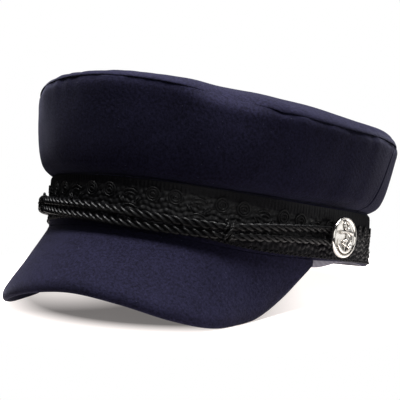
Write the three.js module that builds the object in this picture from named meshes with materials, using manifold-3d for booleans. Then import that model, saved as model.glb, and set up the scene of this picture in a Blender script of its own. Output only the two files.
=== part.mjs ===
// Cadet cap of navy wool cloth, standing by itself on the back of its band and the two tips of its peak.
// Millimetres, +Z up. In the cap's own frame the band's lower edge is at z = 0, the wearer's front is -Y and
// the wearer's left is +X. Angles are in degrees round the band, from the front toward the wearer's left.
import * as THREE from 'three';
import { mergeVertices } from 'three/addons/utils/BufferGeometryUtils.js';
import Module from 'manifold-3d';

const wasm = await Module();
wasm.setup();

// How the cap stands: tipped back, with the cloth pressed flat where it meets the floor
const LEAN = 11.53;
const FLOOR_HEIGHT = 0.6;
const CENTRE_SHIFT = 5.4;

// Clearance between neighbouring pieces, and the steps round the head
const GAP = 0.3;
const STEPS_ROUND = 64;

// Block that stands for the floor, the share of a face over which its slope is read, and how near points join
const FLOOR_BLOCK = { width: 500, thick: 60 };
const SLOPE_STEP = 0.01;
const JOIN_DISTANCE = 1e-4;

// Head band: an oval of 58 cm inside, higher over the peak; toward its top it draws in and leans forward
const BAND = { halfWidth: 85.5, halfLength: 104.7, wall: 3, height: 29.6, taper: 0.7, forwardLean: 2.5 };
const BAND_EDGE = { frontRise: 2.9, frontArch: 4.9, round: 0.7 };

// Where the band's lower edge hangs lower than its arch, or rises above it
const BAND_SAGS = [
  { angle: 50, spread: 22, drop: 2.2 },
  { angle: 96, spread: 18, drop: -1.2 },
];

// Sweatband: its lower edge hangs a little below the band past the ends of the peak
const SWEATBAND = { wall: 1, height: 25, sag: 2.6, sagAngle: 79, sagSpread: 12 };

// Crown: seam heights above the band's lower edge, and how sharply the front rises and the back drops
const CROWN = { wall: 2, sideHeight: 70.5, frontRise: 12.5, frontPower: 2.7, backDrop: 4, backPower: 1.5 };
const CROWN_STEPS = { front: 44, back: 28 };
const REAR_SEAM = { footAngle: 99, topAngle: 108.5 };

// Outline of the crown wall: share of its height, and how far it stands out from the top of the band
const WALL_OUTLINE = [
  { share: 0.00, out: -1.0 },
  { share: 0.03, out: 1.4 },
  { share: 0.08, out: 4.2 },
  { share: 0.15, out: 6.2 },
  { share: 0.30, out: 8.4 },
  { share: 0.52, out: 10.2 },
  { share: 0.76, out: 11.6 },
  { share: 0.92, out: 12.5 },
  { share: 1.00, out: 11.9 },
];

// Soft dents in the crown wall: where each lies, how far it spreads and how deep it is
const WALL_DENTS = [
  { angle: 36, spread: 11, share: 1.0, reach: 0.30, depth: 2.6 },
  { angle: 74, spread: 16, share: 0.5, reach: 0.35, depth: 1.2 },
  { angle: -40, spread: 13, share: 0.95, reach: 0.30, depth: 0.4 },
  { angle: 150, spread: 14, share: 0.9, reach: 0.35, depth: 2.2 },
  { angle: 205, spread: 16, share: 0.7, reach: 0.40, depth: 1.8 },
];

// Top panel: height of its middle, how full it stands above the seam, its rounded edge, and its rings
const TOP = { wall: 2, middle: 88, fullness: 2.5, fullnessPower: 8, edge: 0.985, edgeFall: 0.8 };
const TOP_RINGS = [0.2, 0.5, 0.76, 0.92];

// Peak: its outer edge from the middle (share 0) to the end on the band (share 1), in even steps
const PEAK = { wall: 3, endAngle: 73.4, lastShare: 0.97, bow: 1.5, edgeRound: 0.75, steps: 34 };
const PEAK_EDGE = [
  { side: 0.0, forward: 132.8, down: 28.4 },
  { side: 29.0, forward: 129.1, down: 31.3 },
  { side: 52.7, forward: 117.1, down: 36.5 },
  { side: 66.3, forward: 96.0, down: 38.9 },
  { side: 70.7, forward: 68.9, down: 35.1 },
  { side: 73.3, forward: 44.0, down: 22.6 },
  { side: 81.9, forward: 30.0, down: -0.4 },
];
const PEAK_ROWS = [0, 0.25, 0.5, 0.75, 0.94];

// Braid trim: how far it lies above the band's arch, its width, and its ribs from lower to upper edge
const TRIM = { aboveFront: 4.6, aboveSide: 1.8, width: 22.5, widerSide: 4.2 };
const TRIM_RIBS = [
  { share: 0.00, thick: 0.7 },
  { share: 0.12, thick: 1.1 },
  { share: 0.34, thick: 0.8 },
  { share: 0.46, thick: 1.1 },
  { share: 0.62, thick: 0.8 },
  { share: 0.78, thick: 1.1 },
  { share: 1.00, thick: 0.7 },
];
const TRIM_THICK = Math.max(...TRIM_RIBS.map((rib) => rib.thick));

// Cord: three twisted strands, laid as a loop round both button shanks, with its two runs on the trim
const CORD = { radius: 1.95, hollow: 1.45, lead: 14, strands: 3, stepsAlong: 104, stepsTurn: 7 };
const CORD_RUNS = [
  { angle: 81.5, upper: 17.2, lower: 10.6 },
  { angle: 69, upper: 16.3, lower: 10.1 },
  { angle: 55, upper: 14.2, lower: 8.9 },
  { angle: 41, upper: 12.0, lower: 7.3 },
  { angle: 32, upper: 12.0, lower: 7.3 },
  { angle: 20, upper: 13.0, lower: 7.7 },
  { angle: 8, upper: 14.5, lower: 8.7 },
  { angle: -5, upper: 16.0, lower: 10.1 },
  { angle: -20, upper: 16.6, lower: 11.2 },
  { angle: -32, upper: 17.0, lower: 12.3 },
  { angle: -41, upper: 17.3, lower: 12.7 },
  { angle: -54, upper: 17.2, lower: 12.3 },
  { angle: -68, upper: 17.2, lower: 11.3 },
  { angle: -81.5, upper: 17.2, lower: 10.6 },
];

// Knots: two turns of cord round both runs, which lift off the trim to let the turns pass behind
const KNOT = { clear: 0.35, lift: 1.45, liftSpread: 8, steps: 18 };
const KNOT_PLACES = { knot_left: 41, knot_right: -37.5 };
const KNOT_SECTION = [
  { along: -2.8, rise: 0.1 },
  { along: -2.2, rise: 0 },
  { along: 2.2, rise: 0 },
  { along: 2.8, rise: 0.1 },
  { along: 2.5, rise: 0.8 },
  { along: 1.4, rise: 1.1 },
  { along: 0, rise: 0.6 },
  { along: -1.4, rise: 1.1 },
  { along: -2.5, rise: 0.8 },
];

// Buttons: a turned disc with a rolled rim on a thin shank, with an anchor in relief
const BUTTON = { angle: 81.5, height: 13.9, shankRadius: 0.95, back: 6.0, sides: 22 };
const BUTTON_PROFILE = [
  { radius: 9.6, rise: 0 },
  { radius: 11.0, rise: 0.9 },
  { radius: 10.7, rise: 2.4 },
  { radius: 9.8, rise: 2.8 },
  { radius: 9.1, rise: 2.3 },
  { radius: 8.4, rise: 2.7 },
  { radius: 7.7, rise: 2.3 },
  { radius: 4.0, rise: 2.9 },
];
const BUTTON_TOP = 3.1;
const RELIEF = { foot: 1, rise: 0.75, curveSegments: 5 };
const ANCHOR = {
  ring: { y: 5.3, outer: 1.5, inner: 0.75 },
  stock: { y: 3.1, halfWidth: 3.3, halfHeight: 0.4 },
  shank: { low: -5.4, high: 4.1, halfWidth: 0.5 },
  arms: { y: -0.9, radius: 4.7, halfWidth: 0.5, openAngle: 68 },
  fluke: { beforeTip: 1.04, behindTip: 1.56, halfWidth: 1.2 },
};

// Finish of each kind of piece
const FINISHES = {
  cloth: { color: 0x25243a, roughness: 0.9, metalness: 0 },
  lining: { color: 0x9d9ba8, roughness: 0.8, metalness: 0 },
  braid: { color: 0x1b1a1f, roughness: 0.7, metalness: 0 },
  cord: { color: 0x232227, roughness: 0.45, metalness: 0 },
  silver: { color: 0xc9c6c1, roughness: 0.3, metalness: 1 },
};

const radians = THREE.MathUtils.degToRad;

// Value of a column at a place between the rows of a table, on a smooth curve through them
function smoothBetween(rows, key, column, place) {
  const rising = rows[0][key] < rows[rows.length - 1][key];
  const sorted = rising ? rows : [...rows].reverse();
  const found = sorted.findIndex((row) => row[key] >= place);
  const next = THREE.MathUtils.clamp(found < 0 ? sorted.length - 1 : found, 1, sorted.length - 1);
  const low = sorted[next - 1];
  const high = sorted[next];
  const slope = (index) => {
    const before = sorted[Math.max(index - 1, 0)];
    const after = sorted[Math.min(index + 1, sorted.length - 1)];
    return (after[column] - before[column]) / (after[key] - before[key]);
  };
  const span = high[key] - low[key];
  const t = THREE.MathUtils.clamp((place - low[key]) / span, 0, 1);
  const stay = (1 + 2 * t) * (1 - t) ** 2;
  const leave = t * (1 - t) ** 2 * span;
  const arrive = t ** 2 * (t - 1) * span;
  return low[column] * stay + slope(next - 1) * leave + high[column] * (1 - stay) + slope(next) * arrive;
}

// Shortest way between two angles
function turnBetween(first, second) {
  return THREE.MathUtils.euclideanModulo(first - second + 180, 360) - 180;
}

function frontShare(angle) {
  return Math.max(0, Math.cos(radians(angle)));
}

// Outward direction of the band's oval, and a point at a distance out from it
function outward(angle) {
  const side = Math.sin(radians(angle)) / BAND.halfWidth;
  const forward = Math.cos(radians(angle)) / BAND.halfLength;
  return new THREE.Vector3(side, -forward, 0).normalize();
}

function ringPoint(angle, out, height) {
  const side = BAND.halfWidth * Math.sin(radians(angle));
  const forward = BAND.halfLength * Math.cos(radians(angle));
  return outward(angle).multiplyScalar(out).add(new THREE.Vector3(side, -forward, height));
}

// How far the band's outer face has moved out at a height, and a point at a distance out from that face
function bandShift(angle, height) {
  return ((BAND.forwardLean * Math.cos(radians(angle)) - BAND.taper) * height) / BAND.height;
}

function bandPoint(angle, out, height) {
  return ringPoint(angle, out + bandShift(angle, height), height);
}

// Arch of the band over the peak, and the band's lower edge
function bandArch(angle) {
  return BAND_EDGE.frontArch * frontShare(angle) ** 2;
}

function bandLow(angle) {
  const drops = BAND_SAGS.map((sag) => {
    const across = turnBetween(angle, sag.angle) / sag.spread;
    return sag.drop * Math.exp(-across * across);
  });
  return bandArch(angle) - drops[0] - drops[1];
}

function bandHigh(angle) {
  return BAND.height + BAND_EDGE.frontRise * frontShare(angle) ** 4;
}

function seamHeight(angle) {
  const front = CROWN.frontRise * frontShare(angle) ** CROWN.frontPower;
  const back = CROWN.backDrop * frontShare(angle + 180) ** CROWN.backPower;
  return CROWN.sideHeight + front - back;
}

function dentDepth(angle, share) {
  let depth = 0;
  for (const dent of WALL_DENTS) {
    const across = turnBetween(angle, dent.angle) / dent.spread;
    const up = (share - dent.share) / dent.reach;
    depth += dent.depth * Math.exp(-across * across - up * up);
  }
  return depth;
}

// Outer face of the crown wall in its own upright plane: distance out from the band, and height
function wallOutline(angle, share) {
  const foot = bandHigh(angle) + GAP;
  const start = bandShift(angle, foot);
  const out = start + smoothBetween(WALL_OUTLINE, 'share', 'out', share) - dentDepth(angle, share);
  return new THREE.Vector2(out, THREE.MathUtils.lerp(foot, seamHeight(angle), share));
}

// Inner face: the cloth's thickness in from the outer face
function wallInside(angle, share) {
  const low = wallOutline(angle, Math.max(share - SLOPE_STEP, 0));
  const high = wallOutline(angle, Math.min(share + SLOPE_STEP, 1));
  const along = high.sub(low).normalize();
  const inward = new THREE.Vector2(-along.y, along.x).multiplyScalar(CROWN.wall);
  const point = wallOutline(angle, share).add(inward);
  const top = seamHeight(angle);
  return new THREE.Vector2(point.x, share === 1 ? top : Math.min(point.y, top));
}

// Triangles that close a flat loop of points
function capFaces(loop, first) {
  const centre = loop.reduce((sum, point) => sum.add(point), new THREE.Vector3()).divideScalar(loop.length);
  const normal = new THREE.Vector3();
  loop.forEach((point, index) => {
    const next = loop[(index + 1) % loop.length];
    normal.add(point.clone().sub(centre).cross(next.clone().sub(centre)));
  });
  normal.normalize();
  const across = loop[0].clone().sub(centre).projectOnPlane(normal).normalize();
  const up = normal.clone().cross(across);
  const flat = loop.map((point) => {
    const reach = point.clone().sub(centre);
    return new THREE.Vector2(reach.dot(across), reach.dot(up));
  });
  return THREE.ShapeUtils.triangulateShape(flat, []).map((face) => face.map((index) => index + first));
}

// Turns the faces round if they look inward
function facingOut(geometry) {
  const place = geometry.getAttribute('position');
  const index = geometry.getIndex();
  const corners = [new THREE.Vector3(), new THREE.Vector3(), new THREE.Vector3()];
  let volume = 0;
  for (let i = 0; i < index.count; i += 3) {
    corners.forEach((corner, k) => corner.fromBufferAttribute(place, index.getX(i + k)));
    volume += corners[0].dot(corners[1].cross(corners[2]));
  }
  if (volume < 0) {
    geometry.setIndex(Array.from(index.array).reverse());
  }
  return geometry;
}

// Skin through a row of loops with equal numbers of points; an open row is capped at both ends
function loft(loops, joined) {
  const count = loops[0].length;
  const faces = [];
  const spans = joined ? loops.length : loops.length - 1;
  for (let i = 0; i < spans; i += 1) {
    const near = i * count;
    const far = ((i + 1) % loops.length) * count;
    for (let j = 0; j < count; j += 1) {
      const k = (j + 1) % count;
      faces.push(near + j, far + j, far + k);
      faces.push(near + j, far + k, near + k);
    }
  }
  if (!joined) {
    const last = (loops.length - 1) * count;
    capFaces(loops[0], 0).forEach((face) => faces.push(face[0], face[1], face[2]));
    capFaces(loops[loops.length - 1], last).forEach((face) => faces.push(face[2], face[1], face[0]));
  }
  const places = loops.flat().flatMap((point) => point.toArray());
  const geometry = new THREE.BufferGeometry();
  geometry.setAttribute('position', new THREE.Float32BufferAttribute(places, 3));
  geometry.setIndex(faces);
  return facingOut(geometry);
}

// Closed ring whose section at each angle is a loop of (distance out, height)
function ringLoft(section) {
  const loops = [];
  for (let i = 0; i < STEPS_ROUND; i += 1) {
    const angle = (360 * i) / STEPS_ROUND;
    loops.push(section(angle).map(([out, height]) => bandPoint(angle, out, height)));
  }
  return loft(loops, true);
}

function toSolid(geometry) {
  const bare = geometry.clone();
  bare.deleteAttribute('normal');
  bare.deleteAttribute('uv');
  const joined = mergeVertices(bare, JOIN_DISTANCE);
  const vertProperties = new Float32Array(joined.getAttribute('position').array);
  const triVerts = new Uint32Array(joined.getIndex().array);
  return new wasm.Manifold(new wasm.Mesh({ numProp: 3, vertProperties, triVerts }));
}

function toGeometry(solid) {
  const mesh = solid.getMesh();
  const geometry = new THREE.BufferGeometry();
  geometry.setAttribute('position', new THREE.Float32BufferAttribute(mesh.vertProperties, 3));
  geometry.setIndex(Array.from(mesh.triVerts));
  return geometry;
}

// The cap stands in this group, tipped back on the floor
const cap = new THREE.Group();
cap.rotation.x = -radians(LEAN);
cap.position.set(0, CENTRE_SHIFT, BAND.halfLength * Math.sin(radians(LEAN)) - FLOOR_HEIGHT);
cap.updateMatrixWorld();

// Cloth below the floor is pressed flat
function pressedFlat(geometry) {
  const floor = new THREE.BoxGeometry(FLOOR_BLOCK.width, FLOOR_BLOCK.width, FLOOR_BLOCK.thick);
  floor.translate(0, 0, -FLOOR_BLOCK.thick / 2);
  floor.applyMatrix4(cap.matrixWorld.clone().invert());
  return toGeometry(toSolid(geometry).subtract(toSolid(floor)));
}

function bandGeometry() {
  return ringLoft((angle) => {
    const low = bandLow(angle);
    const high = bandHigh(angle);
    return [
      [-BAND_EDGE.round, low],
      [0, low + BAND_EDGE.round],
      [0, high - BAND_EDGE.round],
      [-BAND_EDGE.round, high],
      [-BAND.wall, high],
      [-BAND.wall, low],
    ];
  });
}

function sweatbandGeometry() {
  const outer = -BAND.wall - GAP;
  const inner = outer - SWEATBAND.wall;
  return ringLoft((angle) => {
    const fromSag = (Math.abs(turnBetween(angle, 0)) - SWEATBAND.sagAngle) / SWEATBAND.sagSpread;
    const low = bandLow(angle) - SWEATBAND.sag * Math.exp(-fromSag * fromSag);
    const high = bandLow(angle) + SWEATBAND.height;
    return [[outer, low], [outer, high], [inner, high], [inner, low]];
  });
}

function trimGeometry() {
  return ringLoft((angle) => {
    const toSide = 1 - frontShare(angle);
    const low = bandArch(angle) + THREE.MathUtils.lerp(TRIM.aboveFront, TRIM.aboveSide, toSide);
    const width = TRIM.width + TRIM.widerSide * toSide;
    const front = TRIM_RIBS.map((rib) => [GAP + rib.thick, low + rib.share * width]);
    return [...front, [GAP, low + width], [GAP, low]];
  });
}

// Wall panel between two rear seams; the seams slant back from foot to top
function wallGeometry(steps, angleAt) {
  const outside = WALL_OUTLINE.map((row) => row.share);
  const inside = outside.filter((share, index) => index % 2 === 0).reverse();
  const loops = [];
  for (let i = 0; i <= steps; i += 1) {
    const across = (2 * i) / steps - 1;
    const outer = outside.map((share) => {
      const angle = angleAt(across, share);
      const place = wallOutline(angle, share);
      return ringPoint(angle, place.x, place.y);
    });
    const inner = inside.map((share) => {
      const angle = angleAt(across, share);
      const place = wallInside(angle, share);
      return ringPoint(angle, place.x, place.y);
    });
    loops.push([...outer, ...inner]);
  }
  return loft(loops, false);
}

// Half of the clearance at a rear seam, as an angle
const SEAM_CLEAR = THREE.MathUtils.radToDeg(GAP / 2 / BAND.halfWidth);

function rearSeamAngle(share) {
  return THREE.MathUtils.lerp(REAR_SEAM.footAngle, REAR_SEAM.topAngle, share);
}

function frontAngle(across, share) {
  return across * (rearSeamAngle(share) - SEAM_CLEAR);
}

function backAngle(across, share) {
  return 180 + across * (180 - rearSeamAngle(share) - SEAM_CLEAR);
}

// Height of the top panel's upper face at a share of the way from its middle to its edge
function topHeight(angle, share) {
  const edge = seamHeight(angle) + GAP + TOP.wall;
  const dome = THREE.MathUtils.lerp(TOP.middle, edge, share ** 2);
  return dome + TOP.fullness * (1 - share ** TOP.fullnessPower);
}

function topGeometry() {
  const ring = (share, fall) => {
    const loop = [];
    for (let i = 0; i < STEPS_ROUND; i += 1) {
      const angle = (360 * i) / STEPS_ROUND;
      const rim = ringPoint(angle, wallOutline(angle, 1).x, 0).multiplyScalar(share);
      loop.push(rim.setZ(topHeight(angle, share) - fall));
    }
    return loop;
  };
  const upper = TOP_RINGS.map((share) => ring(share, 0));
  const lower = TOP_RINGS.slice().reverse().map((share) => ring(share, TOP.wall));
  const edge = [ring(TOP.edge, 0), ring(1, TOP.edgeFall), ring(1, TOP.wall)];
  return loft([...upper, ...edge, ...lower], false);
}

// Outer edge of the peak as a smooth curve from one end to the other
const peakEdge = new THREE.CatmullRomCurve3(
  [...PEAK_EDGE.slice(1).reverse(), ...PEAK_EDGE.map((row) => ({ ...row, side: -row.side }))]
    .map((row) => new THREE.Vector3(row.side, -row.forward, -row.down)),
  false,
  'catmullrom',
);

// Upper face of the peak: share runs across from -1 to 1, reach from the band to the edge
function peakFace(share, reach) {
  const angle = share * PEAK.endAngle;
  const root = ringPoint(angle, GAP, bandLow(angle) - GAP);
  const edge = peakEdge.getPoint((1 - share) / 2);
  return root.lerp(edge, reach);
}

function peakNormal(share, reach) {
  const across = peakFace(share + SLOPE_STEP, reach).sub(peakFace(share - SLOPE_STEP, reach));
  const along = peakFace(share, 1).sub(peakFace(share, 0));
  return along.cross(across).normalize();
}

function peakGeometry() {
  const loops = [];
  for (let i = 0; i <= PEAK.steps; i += 1) {
    const share = PEAK.lastShare * ((2 * i) / PEAK.steps - 1);
    const bow = PEAK.bow * Math.cos((share * Math.PI) / 2);
    const ceiling = bandLow(share * PEAK.endAngle) - GAP;
    const layer = (reach, depth) => {
      const rise = bow * Math.sin(reach * Math.PI) - depth;
      const point = peakFace(share, reach).addScaledVector(peakNormal(share, reach), rise);
      return point.setZ(Math.min(point.z, ceiling));
    };
    const upper = PEAK_ROWS.map((reach) => layer(reach, 0));
    const edge = [layer(1, PEAK.edgeRound), layer(1, PEAK.wall - PEAK.edgeRound)];
    const lower = PEAK_ROWS.slice().reverse().map((reach) => layer(reach, PEAK.wall));
    loops.push([...upper, ...edge, ...lower]);
  }
  return loft(loops, false);
}

// How far the cord's middle stands out from the band, lifted at the knots
function cordOut(angle) {
  const rest = GAP + TRIM_THICK + GAP + CORD.radius;
  const lifts = Object.values(KNOT_PLACES).map((place) => {
    return KNOT.lift * Math.exp(-(((angle - place) / KNOT.liftSpread) ** 2));
  });
  return rest + lifts[0] + lifts[1];
}

function cordRun(angle, column) {
  return bandPoint(angle, cordOut(angle), smoothBetween(CORD_RUNS, 'angle', column, angle));
}

// Half turn of the cord round a button's shank, between its two runs
function cordTurn(side) {
  const angle = side * BUTTON.angle;
  const upper = cordRun(angle, 'upper');
  const lower = cordRun(angle, 'lower');
  const middle = upper.clone().add(lower).divideScalar(2);
  const radius = upper.distanceTo(lower) / 2;
  const back = outward(angle).cross(new THREE.Vector3(0, 0, -side)).normalize();
  const points = [];
  for (let i = 1; i < CORD.stepsTurn; i += 1) {
    const turn = (Math.PI * i) / CORD.stepsTurn;
    const point = middle.clone().addScaledVector(back, radius * Math.sin(turn));
    points.push(point.add(new THREE.Vector3(0, 0, side * -radius * Math.cos(turn))));
  }
  return points;
}

// The cord's middle line, once round the loop
function cordPath() {
  const points = [];
  const spread = (i) => THREE.MathUtils.lerp(BUTTON.angle, -BUTTON.angle, i / CORD.stepsAlong);
  for (let i = 0; i <= CORD.stepsAlong; i += 1) {
    points.push(cordRun(spread(i), 'upper'));
  }
  points.push(...cordTurn(-1));
  for (let i = CORD.stepsAlong; i >= 0; i -= 1) {
    points.push(cordRun(spread(i), 'lower'));
  }
  points.push(...cordTurn(1));
  return points;
}

function cordGeometry() {
  const path = cordPath();
  const count = path.length;
  const travelled = [0];
  for (let i = 0; i < count; i += 1) {
    travelled.push(travelled[i] + path[i].distanceTo(path[(i + 1) % count]));
  }
  const length = travelled[count];
  const turns = Math.round((length * CORD.strands) / CORD.lead) / CORD.strands;
  const corners = CORD.strands * 2;
  const loops = path.map((point, i) => {
    const along = path[(i + 1) % count].clone().sub(path[(i + count - 1) % count]).normalize();
    const angle = THREE.MathUtils.radToDeg(Math.atan2(point.x / BAND.halfWidth, -point.y / BAND.halfLength));
    const out = outward(angle).projectOnPlane(along).normalize();
    const up = along.clone().cross(out);
    const twist = (2 * Math.PI * turns * travelled[i]) / length;
    return Array.from({ length: corners }, (unused, corner) => {
      const turn = twist + (2 * Math.PI * corner) / corners;
      const radius = corner % 2 === 0 ? CORD.radius : CORD.hollow;
      return point.clone()
        .addScaledVector(out, radius * Math.cos(turn))
        .addScaledVector(up, radius * Math.sin(turn));
    });
  });
  return loft(loops, true);
}

// Two turns of cord wrapped round both runs
function knotGeometry(angle) {
  const upper = cordRun(angle, 'upper');
  const lower = cordRun(angle, 'lower');
  const middle = upper.clone().add(lower).divideScalar(2);
  const half = upper.distanceTo(lower) / 2;
  const up = upper.clone().sub(lower).normalize();
  const out = outward(angle);
  const along = up.clone().cross(out);
  const inside = CORD.radius + KNOT.clear;
  const loops = [];
  for (let i = 0; i < KNOT.steps; i += 1) {
    const turn = (2 * Math.PI * (i + 0.5)) / KNOT.steps;
    const away = up.clone().multiplyScalar(Math.cos(turn)).addScaledVector(out, Math.sin(turn));
    const centre = middle.clone().addScaledVector(up, half * Math.sign(Math.cos(turn)));
    loops.push(KNOT_SECTION.map((row) => centre.clone()
      .addScaledVector(away, inside / Math.cos(Math.PI / KNOT.steps) + row.rise)
      .addScaledVector(along, row.along)));
  }
  return loft(loops, true);
}

function anchorGeometries() {
  const { ring, stock, shank, arms, fluke } = ANCHOR;
  const bar = (left, low, right, high) => new THREE.Shape([
    new THREE.Vector2(left, low),
    new THREE.Vector2(right, low),
    new THREE.Vector2(right, high),
    new THREE.Vector2(left, high),
  ]);
  const eye = new THREE.Shape().absarc(0, ring.y, ring.outer, 0, 2 * Math.PI);
  eye.holes.push(new THREE.Path().absarc(0, ring.y, ring.inner, 0, 2 * Math.PI));
  const from = radians(-90 - arms.openAngle);
  const to = radians(-90 + arms.openAngle);
  const curve = new THREE.Shape();
  curve.absarc(0, arms.y, arms.radius + arms.halfWidth, from, to, false);
  curve.absarc(0, arms.y, arms.radius - arms.halfWidth, to, from, true);
  const flukes = [from, to].map((angle, index) => {
    const way = index === 0 ? -1 : 1;
    const tip = new THREE.Vector2(Math.cos(angle), Math.sin(angle)).multiplyScalar(arms.radius);
    tip.y += arms.y;
    const along = new THREE.Vector2(-Math.sin(angle), Math.cos(angle)).multiplyScalar(way);
    const across = new THREE.Vector2(Math.cos(angle), Math.sin(angle)).multiplyScalar(fluke.halfWidth);
    const base = tip.clone().addScaledVector(along, -fluke.behindTip);
    return new THREE.Shape([
      tip.clone().addScaledVector(along, fluke.beforeTip),
      base.clone().add(across),
      base.clone().sub(across),
    ]);
  });
  const pieces = [
    eye,
    bar(-stock.halfWidth, stock.y - stock.halfHeight, stock.halfWidth, stock.y + stock.halfHeight),
    bar(-shank.halfWidth, shank.low, shank.halfWidth, shank.high),
    curve,
    ...flukes,
  ];
  const depth = BUTTON_TOP + RELIEF.rise - RELIEF.foot;
  const settings = { depth, bevelEnabled: false, curveSegments: RELIEF.curveSegments };
  return pieces.map((shape) => new THREE.ExtrudeGeometry(shape, settings).translate(0, 0, RELIEF.foot));
}

function buttonGeometry(side) {
  const seat = GAP + TRIM_THICK + GAP - BUTTON.back;
  const profile = [
    new THREE.Vector2(0, seat),
    new THREE.Vector2(BUTTON.shankRadius, seat),
    new THREE.Vector2(BUTTON.shankRadius, 0),
    ...BUTTON_PROFILE.map((row) => new THREE.Vector2(row.radius, row.rise)),
    new THREE.Vector2(0, BUTTON_TOP),
  ];
  const disc = new THREE.LatheGeometry(profile, BUTTON.sides).rotateX(Math.PI / 2);
  let solid = toSolid(disc);
  anchorGeometries().forEach((piece) => {
    solid = solid.add(toSolid(piece));
  });
  const angle = side * BUTTON.angle;
  const out = outward(angle);
  const up = new THREE.Vector3(0, 0, 1);
  const place = new THREE.Matrix4().makeBasis(up.clone().cross(out), up, out);
  place.setPosition(bandPoint(angle, BUTTON.back, BUTTON.height));
  return toGeometry(solid).applyMatrix4(place);
}

function addPiece(name, geometry, finish) {
  const mesh = new THREE.Mesh(geometry, new THREE.MeshStandardMaterial(finish));
  mesh.name = name;
  cap.add(mesh);
}

addPiece('band', pressedFlat(bandGeometry()), FINISHES.cloth);
addPiece('sweatband', pressedFlat(sweatbandGeometry()), FINISHES.lining);
addPiece('peak', pressedFlat(peakGeometry()), FINISHES.cloth);
addPiece('crown_front', wallGeometry(CROWN_STEPS.front, frontAngle), FINISHES.cloth);
addPiece('crown_back', wallGeometry(CROWN_STEPS.back, backAngle), FINISHES.cloth);
addPiece('crown_top', topGeometry(), FINISHES.cloth);
addPiece('braid_trim', trimGeometry(), FINISHES.braid);
addPiece('cord', cordGeometry(), FINISHES.cord);
Object.entries(KNOT_PLACES).forEach(([name, angle]) => {
  addPiece(name, knotGeometry(angle), FINISHES.cord);
});
addPiece('button_left', buttonGeometry(1), FINISHES.silver);
addPiece('button_right', buttonGeometry(-1), FINISHES.silver);

const part = new THREE.Group();
part.add(cap);

export default part;
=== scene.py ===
import math

import bmesh
import bpy
import numpy as np
from mathutils import Matrix, Vector


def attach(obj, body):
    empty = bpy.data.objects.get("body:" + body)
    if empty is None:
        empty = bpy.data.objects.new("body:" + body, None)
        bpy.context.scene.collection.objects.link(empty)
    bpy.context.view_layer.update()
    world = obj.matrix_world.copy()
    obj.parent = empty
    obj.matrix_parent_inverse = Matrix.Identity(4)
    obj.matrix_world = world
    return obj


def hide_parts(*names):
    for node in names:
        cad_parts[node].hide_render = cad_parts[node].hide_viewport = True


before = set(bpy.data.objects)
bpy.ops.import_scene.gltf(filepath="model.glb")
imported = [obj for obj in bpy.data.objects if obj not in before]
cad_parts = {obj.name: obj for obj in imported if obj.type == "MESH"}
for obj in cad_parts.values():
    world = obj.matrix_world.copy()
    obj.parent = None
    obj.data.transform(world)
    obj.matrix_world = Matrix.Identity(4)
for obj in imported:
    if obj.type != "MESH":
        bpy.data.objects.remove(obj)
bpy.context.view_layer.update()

# The cap is worked out upright, in millimetres: the band's lower edge at height 0, the wearer's front at -Y,
# the wearer's left at +X. Angles are degrees round the band from the front toward the wearer's left.
MM = 0.001
# Neighbouring pieces keep this far apart
GAP = 0.3
# Points closer than this, in metres, are one point
WELD = 1e-7
# A roll of cloth reaches at least this far
LEAST_REACH = 0.001

# How the cap stands: tipped back on the rear of its band and the two tips of its peak
LEAN = math.radians(11.53)
FLOOR_DROP = 0.6
CENTRE_SHIFT = 5.4

# Slow unevenness of the cloth: a number of waves, the shortest by share of the longest
WAVE_COUNT = 10
WAVE_SHORTEST = 0.35
# Its depth, longest wavelength and seed on each piece
WALL_WAVES = (0.30, 55, 3)
TOP_WAVES = (0.45, 70, 11)
BAND_WAVES = (0.12, 40, 5)
PEAK_WAVES = (0.16, 45, 8)

# Head band: an oval, higher over the peak; toward its top it draws in and leans forward
HALF_WIDTH = 85.5
HALF_LENGTH = 104.7
BAND_WALL = 3.0
BAND_HEIGHT = 29.6
BAND_EDGE = 1.2
BAND_TAPER = 0.7
BAND_FORWARD = 2.5
BAND_FRONT_RISE = 2.9
BAND_FRONT_POWER = 4
BAND_FRONT_ARCH = 4.9
# Where the band's lower edge hangs lower or higher than its arch: angle, spread, drop
BAND_SAGS = [(50, 22, 2.2), (96, 18, -1.2)]
# Sweatband inside the band, which sags below it beside both ends of the peak
SWEATBAND_WALL = 1.0
SWEATBAND_HEIGHT = 25.0
SWEATBAND_EDGE = 0.4
SWEATBAND_SAG = 4.0
SWEATBAND_SAG_AT = 76.0
SWEATBAND_SAG_SPREAD = 11.0

# Crown wall: its thickness, and what is left of it where a seam or a tuck draws its face in
CROWN_WALL = 2.0
CROWN_WALL_LEAST = 0.3
# Height of the top seam at the sides, its rise to the front and its drop to the back
SEAM_SIDE_HEIGHT = 70.5
SEAM_FRONT_RISE = 12.5
SEAM_FRONT_POWER = 2.7
SEAM_BACK_DROP = 4.0
SEAM_BACK_POWER = 1.5
# How far the wall stands out from the band: share of height, distance out
WALL_OUTLINE = [
    (0.00, -1.0), (0.03, 1.4), (0.08, 4.2), (0.15, 6.2), (0.30, 8.4),
    (0.52, 10.2), (0.76, 11.6), (0.92, 12.5), (1.00, 11.9),
]
# The wall's turned-in foot behind the band, which closes the joint: distance out, height above the band
WALL_LIP = [(-3.6, -2.2), (-3.12, -2.2), (-3.12, 0.15)]
# Soft dents in the wall: angle, spread, share of height, reach, depth
WALL_DENTS = [
    (36, 11, 1.00, 0.30, 2.6),
    (74, 16, 0.50, 0.35, 1.2),
    (-40, 13, 0.95, 0.30, 0.4),
    (150, 14, 0.90, 0.35, 2.2),
    (205, 16, 0.70, 0.40, 1.8),
]
# Steps across each wall panel, and extra ones close to its rear seams, as shares of half its width
FRONT_STEPS = 260
FRONT_NEAR_SEAM = [0.0006, 0.0015, 0.003, 0.005]
BACK_STEPS = 180
BACK_NEAR_SEAM = [0.0008, 0.002, 0.004, 0.007]

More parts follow.
